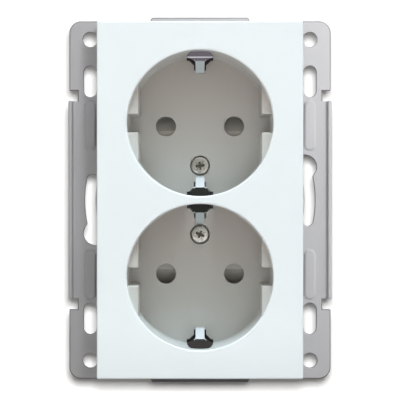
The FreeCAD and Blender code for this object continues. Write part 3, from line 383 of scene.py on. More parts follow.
@dataclass(frozen=True)
class SheetFinish(Finish):
    """Galvanised sheet: calm grey zinc with a fine rolled grain and a hint of crystals, and painted
    shade on the lower tab under the cover.
    """

    metal: float = 0.45  # how much of it is bare metal; the rest is dull zinc bloom
    crystal: float = 1.6 * MM  # width of a crystal
    variation: float = 0.01  # share by which crystals differ, in colour and in roughness
    tab_z: float = -48.6 * MM  # height below which only the lower tab reaches
    tab_painted_shade_share: float = 0.26  # share of the colour left on the lower tab, a painted shade under the cover
    grain: float = 0.25 * MM  # width of the rolled grain
    height: float = 0.0015 * MM  # height of the rolled grain

    def make(self) -> Material:
        """Builds the material."""
        mixer = Mixer(self.name)
        mixer.shader.inputs["Metallic"].default_value = self.metal
        cells = mixer.node("ShaderNodeTexVoronoi")
        cells.inputs["Scale"].default_value = 1.0 / self.crystal
        mixer.link(mixer.place, cells.inputs["Vector"])
        split = mixer.node("ShaderNodeSeparateColor")
        mixer.link(cells.outputs["Color"], split.inputs["Color"])
        crystals = split.outputs["Red"]
        # painted shade: the lower tab, under the cover, gets a darker copy of the zinc
        painted_shade_on_tab = mixer.remap(mixer.axes()[2], self.tab_z - 0.1 * MM, self.tab_z, 1.0, 0.0)
        zinc = mixer.varied(crystals, self.colour, self.variation)
        colour = mixer.blend(painted_shade_on_tab, zinc, tinted(self.colour, self.tab_painted_shade_share))
        rough = mixer.spread(crystals, self.roughness - self.variation, self.roughness + self.variation)
        return mixer.finish(colour, rough, mixer.noise(self.grain, (1.0, 1.0, 9.0)), self.height)


@dataclass(frozen=True)
class ClipFinish(Finish):
    """Spring sheet with a bright tongue, painted shade on each head and a painted highlight along the
    upper outer head's fold.
    """

    upper_head_painted_shade: Colour  # painted shade on the head at the socket's upper end
    lower_head_painted_shade: Colour  # painted shade on the head at its lower end
    middle_head_painted_shade: Colour  # painted shade on the head between the wells
    head_radius: float = 17.1 * MM  # where a head starts, from the well's centre line
    head_y: float = 5.0 * MM  # depth at which a head ends
    outer_z: float = 20.0 * MM  # height from which a clip is an outer one
    neck: float = 1.25 * MM  # half the tongue's width
    shoulder: float = 0.28 * MM  # how much further out the bright part reaches on the shoulders
    fold: float = WELL_Z + 18.08 * MM  # height of the painted highlight along the fold across the upper head
    painted_highlight_half: float = 0.1 * MM
    painted_fold_highlight: Colour = (0.85, 0.84, 0.9)
    dulled: float = 0.35  # how much rougher a head is than its tongue
    variation: float = 0.15  # share by which the tongue's colour and roughness vary
    grain: float = 0.3 * MM  # width of the drawing lines
    height: float = 0.0008 * MM  # height of the drawing lines

    def make(self) -> Material:
        """Builds the material."""
        mixer = Mixer(self.name)
        mixer.shader.inputs["Specular IOR Level"].default_value = 0.08
        across, depth, upward = mixer.axes()
        off_neck = mixer.math("ABSOLUTE", across)
        beside = mixer.remap(off_neck, self.neck, self.neck + 0.2 * MM, 0.0, self.shoulder)
        distance = mixer.math("SUBTRACT", mixer.well_distance(), beside)
        outside = mixer.remap(distance, self.head_radius, self.head_radius + 0.12 * MM)
        front = mixer.remap(depth, self.head_y, self.head_y + 1.5 * MM, 1.0, 0.0)
        head = mixer.math("MULTIPLY", outside, front)
        top = mixer.remap(upward, self.outer_z, self.outer_z + 1 * MM)
        bottom = mixer.remap(upward, -self.outer_z - 1 * MM, -self.outer_z, 1.0, 0.0)
        # painted shade: each head gets a dark colour of its own for the shade and dark reflections in
        # the wells
        dark = mixer.blend(top, self.middle_head_painted_shade, self.upper_head_painted_shade)
        dark = mixer.blend(bottom, dark, self.lower_head_painted_shade)
        # painted highlight: a bright band along the fold of the upper outer head
        off_painted_highlight = mixer.math("ABSOLUTE", mixer.math("SUBTRACT", upward, self.fold))
        on_painted_highlight = mixer.remap(off_painted_highlight, self.painted_highlight_half, 2 * self.painted_highlight_half, 1.0, 0.0)
        dark = mixer.blend(on_painted_highlight, dark, self.painted_fold_highlight)
        mixer.link(mixer.remap(head, 0.0, 1.0, 1.0, 0.0), mixer.shader.inputs["Metallic"])
        lines = mixer.noise(self.grain, (12.0, 1.0, 1.0))
        bright = mixer.varied(lines, self.colour, self.variation)
        least, most = self.roughness * (1 - self.variation), self.roughness * (1 + self.variation)
        dull = mixer.math("MULTIPLY", head, self.dulled)
        rough = mixer.math("ADD", mixer.spread(lines, least, most), dull)
        return mixer.finish(mixer.blend(head, bright, dark), rough, lines, self.height)


@dataclass(frozen=True)
class MetalFinish(Finish):
    """A bare or plated metal with fine drawing lines."""

    stretch: Triple = (1.0, 1.0, 8.0)  # how much longer the lines are along each axis
    tarnish: float = 0.05  # share by which the colour darkens in patches
    height: float = 0.001 * MM  # height of the lines
    patch: float = 2.5 * MM  # size of a patch
    grain: float = 0.12 * MM  # width of a line

    def make(self) -> Material:
        """Builds the material."""
        mixer = Mixer(self.name)
        mixer.shader.inputs["Metallic"].default_value = 1.0
        colour = mixer.varied(mixer.noise(self.patch), self.colour, self.tarnish)
        lines = mixer.noise(self.grain, self.stretch)
        rough = mixer.spread(lines, self.roughness * 0.8, self.roughness * 1.2)
        return mixer.finish(colour, rough, lines, self.height)


FINISHES = {
    Slot.WHITE: CoverFinish(
        "cool_white_moulding", (0.88, 0.92, 0.935), 0.2, (0.5, 0.458, 0.422), (0.61, 0.615, 0.59)
    ),
    Slot.CARRIER: PlasticFinish(
        "dark_filled_moulding", (0.06, 0.06, 0.065), 0.5, 0.12, 0.3 * MM, 0.01 * MM
    ),
    Slot.REAR: PlasticFinish(
        "dark_cover_moulding", (0.075, 0.075, 0.08), 0.45, 0.1, 0.3 * MM, 0.01 * MM
    ),
    # painted shade: the sliders are given the grey they show deep behind the pin holes
    Slot.SHUTTER: PlasticFinish("slider_moulding_painted_shade", (0.53, 0.51, 0.47), 0.4, 0.05),
    Slot.SHEET: SheetFinish("galvanised_sheet", (0.37, 0.37, 0.384), 0.62),
    Slot.SPRING: MetalFinish("spring_wire", (0.5, 0.5, 0.51), 0.3),
    Slot.BRASS: MetalFinish("stamped_brass", (0.8, 0.62, 0.33), 0.3, tarnish=0.1),
    Slot.RIVET: MetalFinish("headed_brass", (0.76, 0.6, 0.34), 0.32, tarnish=0.12),
    Slot.CLIP: ClipFinish(
        "bright_nickel",
        (0.64, 0.68, 0.69),
        0.68,
        (0.21, 0.185, 0.22),
        (0.06, 0.052, 0.05),
        (0.035, 0.035, 0.032),
    ),
    Slot.SCREW: MetalFinish("bright_zinc", (0.42, 0.41, 0.37), 0.3, EVEN),
    Slot.CLAMP: MetalFinish("stamped_zinc", (0.6, 0.6, 0.6), 0.38, EVEN),
    # painted shade deep in the screws' recesses
    Extra.RECESS: MetalFinish("shaded_recess", (0.13, 0.115, 0.09), 0.5, EVEN, 0.25),
    # partly the bare steel of a sheared edge, partly painted shade along the sheet's edges
    Extra.CUT_EDGE: MetalFinish("sheared_edge_and_painted_shade", (0.17, 0.168, 0.175), 0.45, EVEN, 0.1),
}


class Bench:
    """The edit tools, used one piece at a time. Small pieces are shaped in millimetres."""

    def take(self, piece: Piece) -> None:
        """Selects one piece alone and makes it the active one."""
        bpy.ops.object.select_all(action="DESELECT")
        piece.select_set(True)
        bpy.context.view_layer.objects.active = piece

    def start(self, add: Callable[..., set[str]], name: str, **settings: object) -> Piece:
        """Starts a piece from a basic shape, with its place and turn in its mesh.

        Args:
            add: The operator that adds the shape.
            name: The piece's name.
            settings: The operator's settings.

        Returns:
            The new piece.
        """
        bpy.ops.object.select_all(action="DESELECT")
        add(**settings)
        piece = bpy.context.object
        piece.name = name
        bpy.ops.object.transform_apply(location=True, rotation=True, scale=True)
        return piece

    @contextmanager
    def editing(self, everything: bool = True) -> Iterator[None]:
        """Keeps the active piece in edit mode.

        Args:
            everything: True where all of it is selected, and not only what was.
        """
        bpy.ops.object.mode_set(mode="EDIT")
        if everything:
            bpy.ops.mesh.select_all(action="SELECT")
        yield
        bpy.ops.object.mode_set(mode="OBJECT")

    def select(self, piece: Piece, kind: str, wanted: Callable[..., bool]) -> None:
        """Selects some parts of the active piece.

        Args:
            piece: The piece.
            kind: EDGE or FACE.
            wanted: Tells whether an edge or face is selected.
        """
        with self.editing():
            bpy.ops.mesh.select_mode(type=kind)
            bpy.ops.mesh.select_all(action="DESELECT")
        for part in piece.data.edges if kind == "EDGE" else piece.data.polygons:
            part.select = wanted(part)

    def extrude(self, shift: Triple, scale: Triple, centre: Triple) -> None:
        """Extrudes what is selected and scales its end about a point."""
        bpy.ops.mesh.extrude_region_move(TRANSFORM_OT_translate={"value": shift})
        bpy.ops.transform.resize(value=scale, center_override=centre)

    def modify(self, piece: Piece, kind: str, **settings: object) -> None:
        """Gives a piece a modifier and applies it.

        Args:
            piece: The piece.
            kind: The modifier's type.
            settings: Its attributes.
        """
        self.take(piece)
        modifier = piece.modifiers.new(kind.lower(), kind)
        for name, value in settings.items():
            setattr(modifier, name, value)
        bpy.ops.object.modifier_apply(modifier=modifier.name)

    def turned(self, name: str, rings: list[Pair], sides: int = 48) -> Piece:
        """Makes a round solid about the Y axis, ring by ring, as on a lathe.

        Args:
            name: The piece's name.
            rings: Radius and Y of each ring, in millimetres.
            sides: Number of sides.

        Returns:
            The closed piece.
        """
        radius, place = rings[0]
        disc = {"vertices": sides, "radius": radius, "fill_type": "NGON", "location": (0, place, 0)}
        piece = self.start(bpy.ops.mesh.primitive_circle_add, name, **disc, rotation=UPRIGHT)
        with self.editing():
            for next_radius, next_place in rings[1:]:
                share = next_radius / radius
                self.extrude((0, next_place - place, 0), (share, 1, share), (0, next_place, 0))
                radius, place = next_radius, next_place
            bpy.ops.mesh.select_all(action="SELECT")
            bpy.ops.mesh.normals_make_consistent(inside=False)
        return piece

    def carve(self, piece: Piece, size: Triple, turn: float, taper: float) -> None:
        """Cuts a box about the origin out of a piece, for one arm of a recess.

        Args:
            piece: The piece.
            size: The box's width, depth and height.
            turn: Its turn about Y, in degrees.
            taper: Width at its back as a share of the front's.
        """
        cutter = self.start(bpy.ops.mesh.primitive_cube_add, "cutter", size=1)
        cutter.scale = size
        bpy.ops.object.transform_apply(location=False, rotation=False, scale=True)
        self.select(cutter, "FACE", lambda face: face.normal.y > 0.5)
        with self.editing(everything=False):
            bpy.ops.transform.resize(value=(taper, 1, taper), center_override=(0, 0, 0))
        cutter.rotation_euler = (0, math.radians(turn), 0)
        bpy.ops.object.transform_apply(location=True, rotation=True, scale=True)
        self.modify(piece, "BOOLEAN", operation="DIFFERENCE", solver="EXACT", object=cutter)
        bpy.data.objects.remove(cutter)

    def finished(self, piece: Piece, place: Triple, turn: Triple = (0, 0, 0)) -> None:
        """Turns a piece, brings it from millimetres to metres, puts it in place and smooths it.

        Args:
            piece: The piece, in millimetres.
            place: Where its origin goes.
            turn: Its turn about each axis.
        """
        self.take(piece)
        piece.rotation_euler = turn
        piece.scale = (MM, MM, MM)
        piece.location = place
        bpy.ops.object.transform_apply(location=True, rotation=True, scale=True)
        bpy.ops.object.shade_smooth_by_angle(angle=CREASE)

    def round_edges(self, piece: Piece, edge: float, material: int = -1, clamped: bool = True) -> None:
        """Rounds a piece's sharp edges.

        Args:
            piece: The piece.
            edge: Width of the rounding, in the piece's own units.
            material: Material slot of the rounding, or -1 for its neighbours'.
            clamped: True where the shortest edges hold the rounding back.
        """
        limits = {"limit_method": "ANGLE", "angle_limit": CREASE, "use_clamp_overlap": clamped}
        self.modify(piece, "BEVEL", width=edge, segments=2, material=material, **limits)

    def copied(self, node: str) -> Piece:
        """Copies a CAD node's mesh to a new piece with its triangles joined.

        Args:
            node: The node's name.

        Returns:
            The new piece.
        """
        piece = bpy.data.objects.new(f"{node}_finished", frame["nodes"][node].data.copy())
        bpy.context.scene.collection.objects.link(piece)
        self.take(piece)
        with self.editing():
            bpy.ops.mesh.remove_doubles(threshold=MERGE)
            bpy.ops.mesh.dissolve_limited(angle_limit=FLAT)
            bpy.ops.mesh.normals_make_consistent(inside=False)
        return piece

    def give_marks(self, piece: Piece) -> None:
        """Gives a piece two empty material slots, so that faces can be marked for a second finish."""
        piece.data.materials.clear()
        for _ in range(2):
            piece.data.materials.append(None)

    def even_shading(self, piece: Piece) -> None:
        """Shades curved faces smooth and keeps flat ones flat."""
        self.take(piece)
        bpy.ops.object.shade_smooth_by_angle(angle=CREASE)
        self.modify(piece, "WEIGHTED_NORMAL", keep_sharp=True, weight=100)


class Fitter:
    """Gives each piece its finish, slot and body, and puts it in its CAD node's place."""

    def __init__(self) -> None:
        """Makes each finish once."""
        self.materials = {key: finish.make() for key, finish in FINISHES.items()}
        self.pieces: list[Piece] = []

    def dress(self, piece: Piece, slot: Slot, extra: Extra | None = None) -> None:
        """Gives a piece its slot's finish.

        Args:
            piece: The piece.
            slot: Its slot.
            extra: The finish of the faces marked with material 1, if it has any.
        """
        marks = [face.material_index for face in piece.data.polygons]
        piece.data.materials.clear()
        piece.data.materials.append(self.materials[slot])
        if extra:
            piece.data.materials.append(self.materials[extra])
            piece.data.polygons.foreach_set("material_index", marks)

    def dress_nodes(self) -> None:
        """Dresses each CAD node by its slot in the record."""
        for row in frame["record"]["subparts"]:
            self.dress(frame["nodes"][row["node"]], Slot(row["material_slot"]))
            LOG.info("dressed %s", row["node"])

    def fit(self, piece: Piece, node: str, extra: Extra | None = None) -> None:
        """Fits one piece in the place of one node.

        Args:
            piece: The finished piece.
            node: The node that it replaces.
            extra: The finish of its marked faces, if it has any.
        """
        slot = next(row["material_slot"] for row in frame["record"]["subparts"] if row["node"] == node)
        self.dress(piece, Slot(slot), extra)
        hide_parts(node)
        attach(piece, body_of_node(node))
        self.pieces.append(piece)
        LOG.info("fitted %s in the place of %s", piece.name, node)

    def add(self, piece: Piece, slot: Slot, body: str) -> None:
        """Fits one piece that has no node of its own.

        Args:
            piece: The finished piece.
            slot: Its slot.
            body: The CAD body that it rides on.
        """
        self.dress(piece, slot)
        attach(piece, body)
        self.pieces.append(piece)
        LOG.info("fitted %s", piece.name)


def body_of_node(node: str) -> str:
    """The CAD body that a node rides on."""
    return next(name for name, nodes in frame["record"]["behaviour"]["bodies"].items() if node in nodes)


@dataclass
class Assembly:
    """A group of pieces and what makes it."""

    bench: Bench
    fitter: Fitter  # puts the pieces in place

    def build(self) -> None:
        """Makes and fits every piece of the group."""
        raise NotImplementedError

    def fit_rounded(self, piece: Piece, node: str, edge: float) -> None:
        """Rounds a copy's edges, shades it and fits it in its node's place."""
        self.bench.round_edges(piece, edge)
        self.bench.even_shading(piece)
        self.fitter.fit(piece, node)


@dataclass
class Screws(Assembly):
    """The cover screws, the terminal screws and the rear cover's screws, in millimetres."""

    pitch: float = 0.6  # distance from one turn of the thread to the next
    thread: float = 0.25  # depth of the thread
    # depth below the crest, as a share of the thread's, and share of the pitch of each ring of a turn
    turn_rings: Pairs = ((1, 0.15), (0, 0.45), (0, 0.6), (1, 0.9))
    # inset and Y of each ring of a round head's front
    round_rings: Pairs = ((0.42, 0.0), (0.2, 0.05), (0.06, 0.16), (0.0, 0.34))
    # the same of a countersunk head
    sunk_rings: Pairs = ((0.1, 0.0), (0.0, 0.06), (0.0, 0.12))
    slot: Pair = (2.9, 0.9)  # length and width of the recess's slot
    cross: Pair = (2.5, 0.7)  # length and width of the recess's cross
    recess: float = 1.0  # depth of the recess
    taper: float = 0.72  # width of an arm's bottom as a share of its top
    tick: Triple = (3.4, 0.16, 0.14)  # length, depth and width of the fine marks between two arms
    margin: float = 0.05  # how far under the recess's floor a face may be to count as in it
    lowest: float = 0.02  # depth from which a face is in the recess, and not on the head's front
    least_area: float = 0.02  # area under which a face near the front is one of a fine mark's
    round_radius: float = 2.5  # radius of a round head whose recess has these sizes
    sunk_radius: float = 2.9  # the same of a countersunk head
    # the two cover screws' turns, in degrees
    turns: dict[str, float] = field(default_factory=lambda: {"upper": -8.0, "lower": 24.0})

    def shank(self, radius: float, start: float, end: float) -> list[Pair]:
        """Gives a threaded shank's rings.

        Args:
            radius: Its radius over the thread.
            start: Y where it starts.
            end: Y where it ends.

        Returns:
            Radius and Y of each ring.
        """
        rings = [(radius - self.thread, start)]
        for turn in range(int((end - start - self.pitch) / self.pitch)):
            base = start + turn * self.pitch
            for depth, share in self.turn_rings:
                rings.append((radius - depth * self.thread, base + share * self.pitch))
        return [*rings, (radius - self.thread, end - self.thread), (radius - 2 * self.thread, end)]

    def cut_recess(self, piece: Piece, size: float, turn: float) -> None:
        """Cuts the combined cross and slot recess with its fine marks.

        Args:
            piece: The screw, with its head's face at Y 0.
            size: Size of the recess, as a share of the largest.
            turn: The recess's turn, in degrees.
        """
        deep = self.recess * size
        for (length, width), extra in ((self.slot, 0), (self.cross, 0), (self.cross, 90)):
            self.bench.carve(piece, (length * size, 2 * deep, width * size), turn + extra, self.taper)
        length, depth, width = self.tick
        for extra in (45, 135):
            self.bench.carve(piece, (length * size, depth, width), turn + extra, 1.0)
        # faces inside the recess get the painted shade of Extra.RECESS
        self.bench.give_marks(piece)
        for face in piece.data.polygons:
            middle = face.center
            inside = math.hypot(middle.x, middle.z) < length / 2 * size and middle.y < deep + self.margin
            face.material_index = int(inside and (middle.y > self.lowest or face.area < self.least_area))

    def make(self, node: str, shank: float, turn: float, head: float = 0.0, back: bool = True) -> None:
        """Makes and fits one screw.

        Args:
            node: Its CAD node.
            shank: The shank's radius.
            turn: The recess's turn, in degrees.
            head: Height of its round head, or 0 where it is countersunk.
            back: True where it faces the back.
        """
        low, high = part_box(node)
        radius = (high.x - low.x) / 2 / MM
        length = (high.y - low.y) / MM
        sink = radius - shank
        head_rings = self.round_rings if head else self.sunk_rings
        rings = [(radius - inset, place) for inset, place in head_rings]
        if head:
            rings += [(radius, head - 0.08), (radius - 0.08, head), *self.shank(shank, head, length)]
        else:
            rings += [(shank, sink + 0.06), *self.shank(shank, sink + 0.2, length)]
        piece = self.bench.turned(f"{node}_finished", rings)
        self.cut_recess(piece, radius / (self.round_radius if head else self.sunk_radius), turn)
        place = ((low.x + high.x) / 2, high.y if back else low.y, (low.z + high.z) / 2)
        self.bench.finished(piece, place, (0, 0, math.pi if back else 0))
        self.fitter.fit(piece, node, Extra.RECESS)

    def build(self) -> None:
        """Makes and fits every screw."""
        for level, turn in self.turns.items():
            self.make(f"{level}_cover_screw", 1.5, turn, 1.6, back=False)
        for number, pole in enumerate(POLES):
            for level in LEVELS:
                turn = 25.0 * number + (40.0 if level == "upper" else -15.0)
                self.make(f"{pole}_{level}_terminal_screw", 1.75, turn, 2.0)
        for number, place in enumerate(("upper_left", "upper_right", "lower_left", "lower_right")):
            self.make(f"rear_screw_{place}", 1.3, 18.0 + 31.0 * number)


@dataclass
class Rivets(Assembly):
    """The tubular rivets: a domed head in front and a rolled, hollow end behind, in millimetres."""

    radius: float = 2.0  # a head's radius
    height: float = 0.6  # a head's height
    dome: tuple[int, ...] = (12, 25, 38, 50, 62, 75, 90)  # angles of the front head's rings, in degrees
    shank: float = 1.2
    bore: float = 0.65  # the hollow's radius
    depth: float = 0.9  # the hollow's depth
    sides: int = 40

    def rings(self, length: float) -> list[Pair]:
        """Gives a rivet's rings, from the dome to the hollow's end.

        Args:
            length: Its length.

        Returns:
            Radius and Y of each ring.
        """
        angles = [math.radians(angle) for angle in self.dome]
        return [
            *[(self.radius * math.sin(angle), self.height * (1 - math.cos(angle))) for angle in angles],
            (self.shank, self.height),
            (self.shank, length - self.height),
            (self.radius, length - self.height),
            (self.radius, length - 0.35 * self.height),
            (self.radius - 0.15, length - 0.12 * self.height),
            (self.radius - 0.45, length),
            (self.bore + 0.2, length),
            (self.bore, length - 0.15 * self.height),
            (self.bore - 0.1, length - self.depth),
        ]

    def build(self) -> None:
        """Makes and fits every rivet."""
        for node in ("middle_clip_rivet", "upper_bracket_rivet", "lower_bracket_rivet"):
            low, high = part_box(node)
            piece = self.bench.turned(f"{node}_finished", self.rings((high.y - low.y) / MM), self.sides)
            self.bench.finished(piece, ((low.x + high.x) / 2, low.y, (low.z + high.z) / 2))
            self.fitter.fit(piece, node)


@dataclass
class ShutterSprings(Assembly):
    """The round-wire compression springs behind the shutters, in millimetres."""

    wire: float = 0.2  # the wire's radius
    wire_sides: int = 12  # number of sides of the wire
    coil: float = 1.7  # the coil's middle radius
    turns: int = 5
    turn_steps: int = 36  # number of steps in a turn
    travel: float = 5.8 * MM  # how far each is pressed together, in metres

    def wound(self, name: str, height: float) -> Piece:
        """Winds one spring about the Z axis.

        Args:
            name: The piece's name.
            height: The spring's height.

        Returns:
            The closed piece.
        """
        ring = {"vertices": self.wire_sides, "radius": self.wire, "location": (self.coil, 0, self.wire)}
        piece = self.bench.start(bpy.ops.mesh.primitive_circle_add, name, **ring, rotation=UPRIGHT)
        pitch = (height - 2 * self.wire) / self.turns
        steps = {"iterations": self.turns, "steps": self.turn_steps, "render_steps": self.turn_steps}
        self.bench.modify(piece, "SCREW", angle=2 * math.pi, screw_offset=pitch, **steps)
        with self.bench.editing():
            bpy.ops.mesh.remove_doubles(threshold=0.001)
            bpy.ops.mesh.select_all(action="DESELECT")
            bpy.ops.mesh.select_mode(type="EDGE")
            bpy.ops.mesh.select_non_manifold()
            bpy.ops.mesh.fill_holes(sides=0)
            bpy.ops.mesh.select_all(action="SELECT")
            bpy.ops.mesh.normals_make_consistent(inside=False)
        return piece

    def build(self) -> None:
        """Makes and fits both springs, each with a mesh of its own."""
        for level in LEVELS:
            node = f"{level}_shutter_spring"
            low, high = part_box(node)
            piece = self.wound(f"{node}_finished", (high.z - low.z) / MM)
            self.bench.finished(piece, ((low.x + high.x) / 2, (low.y + high.y) / 2, low.z))
            self.fitter.fit(piece, node)
            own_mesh(piece)


@dataclass
class SupportFrame(Assembly):
    """The galvanised frame: its beads run softly into the sheet, and its rounded cut edges are darker,
    partly as bare sheared steel and partly as painted shade along the sheet's edges.
    """

    front_y: float = -1.0 * MM  # the sheet's front
    bead_x: float = 30.05 * MM  # a bead's middle
    bead_half: float = 1.55 * MM  # half a bead's width
    bead_reach: float = 2.4 * MM  # half the width of a bead with its spread foot
    bead_height: float = 0.6 * MM  # a bead's height
    bead_slope: float = 0.45 * MM  # how much narrower a bead's top is than its foot, on each side
    near: float = 0.05 * MM  # how far off a bead's outline a point may be to count as on it
    skin: float = 0.02 * MM  # how far off the sheet's front a point may be to count as on it
    shallow: float = 0.6  # a bead's finished height, as a share of the CAD's
    foot: float = 0.3 * MM  # how far a bead's foot spreads into the sheet
    edge: float = 0.26 * MM  # width of the rolled cut edges
    lip_x: float = 33.0 * MM  # where the folded lips start
    lip_z: float = 27.5 * MM  # height of the lips' ends

    def soften_beads(self, piece: Piece) -> None:
        """Spreads each bead's foot and lowers its top.

        Args:
            piece: The frame's copy.
        """
        places = [vertex.co for vertex in piece.data.vertices]
        tops = [
            place.z
            for place in places
            if place.y < self.front_y - 0.8 * self.bead_height
            and abs(abs(place.x) - self.bead_x) < self.bead_half
            and place.z > 0
        ]
        half = self.bead_half - self.bead_slope
        lowest, highest = min(tops) + half, max(tops) - half
        for place in places:
            middle_x = math.copysign(self.bead_x, place.x)
            middle_z = math.copysign(min(max(abs(place.z), lowest), highest), place.z)
            away = Vector((place.x - middle_x, 0, place.z - middle_z))
            if away.length > self.bead_half + self.near or place.y > self.front_y + self.skin:
                continue
            rise = (self.front_y - place.y) / self.bead_height
            if rise < 0.05 and away.length > self.bead_half - self.near:
                place += away.normalized() * self.foot
            elif rise > 0.05:
                place -= away.normalized() * self.foot * 0.5 * rise
                place.y = self.front_y - rise * self.bead_height * self.shallow

    def clear_folds(self, piece: Piece) -> None:
        """Gives the roundings of the beads and the folded lips the sheet's own finish.

        Args:
            piece: The frame's copy, after its edges were rounded.
        """
        for face in piece.data.polygons:
            across, upward, depth = abs(face.center.x), abs(face.center.z), face.center.y
            on_lip = across > self.lip_x and upward < self.lip_z
            faces_front = abs(face.normal.y) > 0.85 and depth < self.front_y + 0.1 * MM
            raised = depth < self.front_y - self.skin
            on_bead = abs(across - self.bead_x) < self.bead_reach and (raised or faces_front)
            if face.material_index == 1 and (on_lip or on_bead):
                face.material_index = 0

    def build(self) -> None:
        """Makes and fits the frame."""
        piece = self.bench.copied("support_frame")
        self.soften_beads(piece)
        self.bench.give_marks(piece)
        # the roundings get the dark edge finish: bare sheared steel and painted shade
        self.bench.round_edges(piece, self.edge, material=1, clamped=False)
        self.clear_folds(piece)
        self.bench.even_shading(piece)
        self.fitter.fit(piece, "support_frame", Extra.CUT_EDGE)


@dataclass
class RoundedCopies(Assembly):
    """The pieces whose CAD shape stays, with their edges rounded as moulded or stamped."""

    # width of the rounding of each piece
    edges: dict[str, float] = field(
        default_factory=lambda: {
            "cover_plate": 0.08 * MM,
            "contact_carrier": 0.12 * MM,
            "rear_cover": 0.2 * MM,
            "upper_shutter": 0.1 * MM,
            "lower_shutter": 0.1 * MM,
            "line_contact_strip": 0.08 * MM,
            "neutral_contact_strip": 0.08 * MM,
            "earth_terminal": 0.08 * MM,
            "upper_cover_nut": 0.2 * MM,
            "lower_cover_nut": 0.2 * MM,
        }
    )
    washer_edge: float = 0.15 * MM  # width of the rounding of each clamp washer

    def build(self) -> None:
        """Makes and fits every copy."""
        washers = [f"{pole}_{level}_clamp_washer" for pole in POLES for level in LEVELS]
        for node, edge in {**self.edges, **dict.fromkeys(washers, self.washer_edge)}.items():
            self.fit_rounded(self.bench.copied(node), node, edge)


@dataclass
class EarthClips(Assembly):
    """The four earth clips as they show in the wells, on the CAD's strips behind the floors."""

    sheet: float = 0.8
    cut_y: float = 6.2  # depth behind which the CAD's strips are kept
    # rows from tip to neck of a middle clip's head:
    # distance from the well's centre, depth and half the width
    tip: tuple[Triple, ...] = (
        (19.75, -6.31, 2.3), (19.3, -5.95, 2.95), (19.0, -5.71, 3.03), (18.1, -4.99, 2.3),
        (17.5, -4.5, 1.8), (17.3, -4.34, 2.05), (17.14, -4.2, 2.0), (17.0, -4.08, 1.32),
    )
    # the same rows on an outer clip
    outer_tip: tuple[Triple, ...] = (
        (19.75, -6.31, 2.15), (19.3, -5.95, 2.45), (18.25, -5.11, 3.35), (18.1, -4.99, 3.5),
        (18.0, -4.91, 3.45), (17.7, -4.66, 2.7), (17.4, -4.42, 2.0), (17.15, -4.22, 1.45),
    )
    tongue_half: float = 1.23  # half the tongue's width
    # distance and depth of the rows from the neck over the bulge to the floor
    tongue: Pairs = (
        (16.7, -3.84), (16.3, -3.5), (15.9, -3.1), (15.36, -2.58),
        (14.95, -2.2), (14.68, -1.92), (14.47, -1.72), (14.3, -1.5),
        (14.19, -1.28), (14.1, -1.02), (14.05, -0.75), (14.06, -0.47),
        (14.12, -0.25), (14.7, 1.5), (15.5, 4.1), (16.25, 6.45),
    )
    edge: float = 0.1  # width of the rounded edges

    def strip(self, name: str, tip: tuple[Triple, ...]) -> Piece:
        """Bends one clip's sheet row by row, from its tip to its foot.

        Args:
            name: The piece's name.
            tip: The rows of its head.

        Returns:
            The solid clip, in millimetres from the well's centre.
        """
        rows = [*tip, *((up, depth, self.tongue_half) for up, depth in self.tongue)]
        piece = self.bench.start(bpy.ops.mesh.primitive_plane_add, name, size=2)
        for side, (up, depth, half) in zip((-1.0, 1.0), rows):
            self.bench.select(piece, "EDGE", lambda edge: self.on_side(piece, edge, side))
            with self.bench.editing(everything=False):
                bpy.ops.transform.translate(value=(0, depth - side, up))
                bpy.ops.transform.resize(value=(half, 1, 1), center_override=(0, depth, up))
        with self.bench.editing(everything=False):
            for last, (up, depth, half) in zip(rows[1:], rows[2:]):
                shift = (0, depth - last[1], up - last[0])
                self.bench.extrude(shift, (half / last[2], 1, 1), (0, depth, up))
        if piece.data.polygons[0].normal.z > 0:
            with self.bench.editing():
                bpy.ops.mesh.flip_normals()
        self.bench.modify(piece, "SOLIDIFY", thickness=self.sheet, offset=-1.0, use_even_offset=True)
        return piece

    def on_side(self, piece: Piece, edge: bpy.types.MeshEdge, side: float) -> bool:
        """Tells whether both ends of an edge are on one side of the first plane."""
        return all(abs(piece.data.vertices[one].co.y - side) < 0.001 for one in edge.vertices)

    def rest_of(self, node: str) -> None:
        """Keeps what is behind the floors of a CAD strip.

        Args:
            node: The strip's node.
        """
        piece = self.bench.copied(node)
        plane = {"plane_co": (0, self.cut_y * MM, 0), "plane_no": (0, 1, 0)}
        with self.bench.editing():
            bpy.ops.mesh.bisect(**plane, use_fill=True, clear_inner=True, threshold=1e-7)
        self.fit_rounded(piece, node, self.edge * MM)

    def build(self) -> None:
        """Makes and fits the four clips and both strips."""
        self.rest_of("earth_strip")
        self.rest_of("middle_earth_clip")
        for level, side in (("upper", 1), ("lower", -1)):
            for kind, way, tip in (("outer", 1, self.outer_tip), ("middle", -1, self.tip)):
                piece = self.strip(f"{level}_{kind}_clip_front", tip)
                self.bench.round_edges(piece, self.edge)
                turn = (0, 0 if side * way > 0 else math.pi, 0)
                self.bench.finished(piece, (0, 0, side * WELL_Z), turn)
                self.bench.even_shading(piece)
                self.fitter.add(piece, Slot.CLIP, "housing")


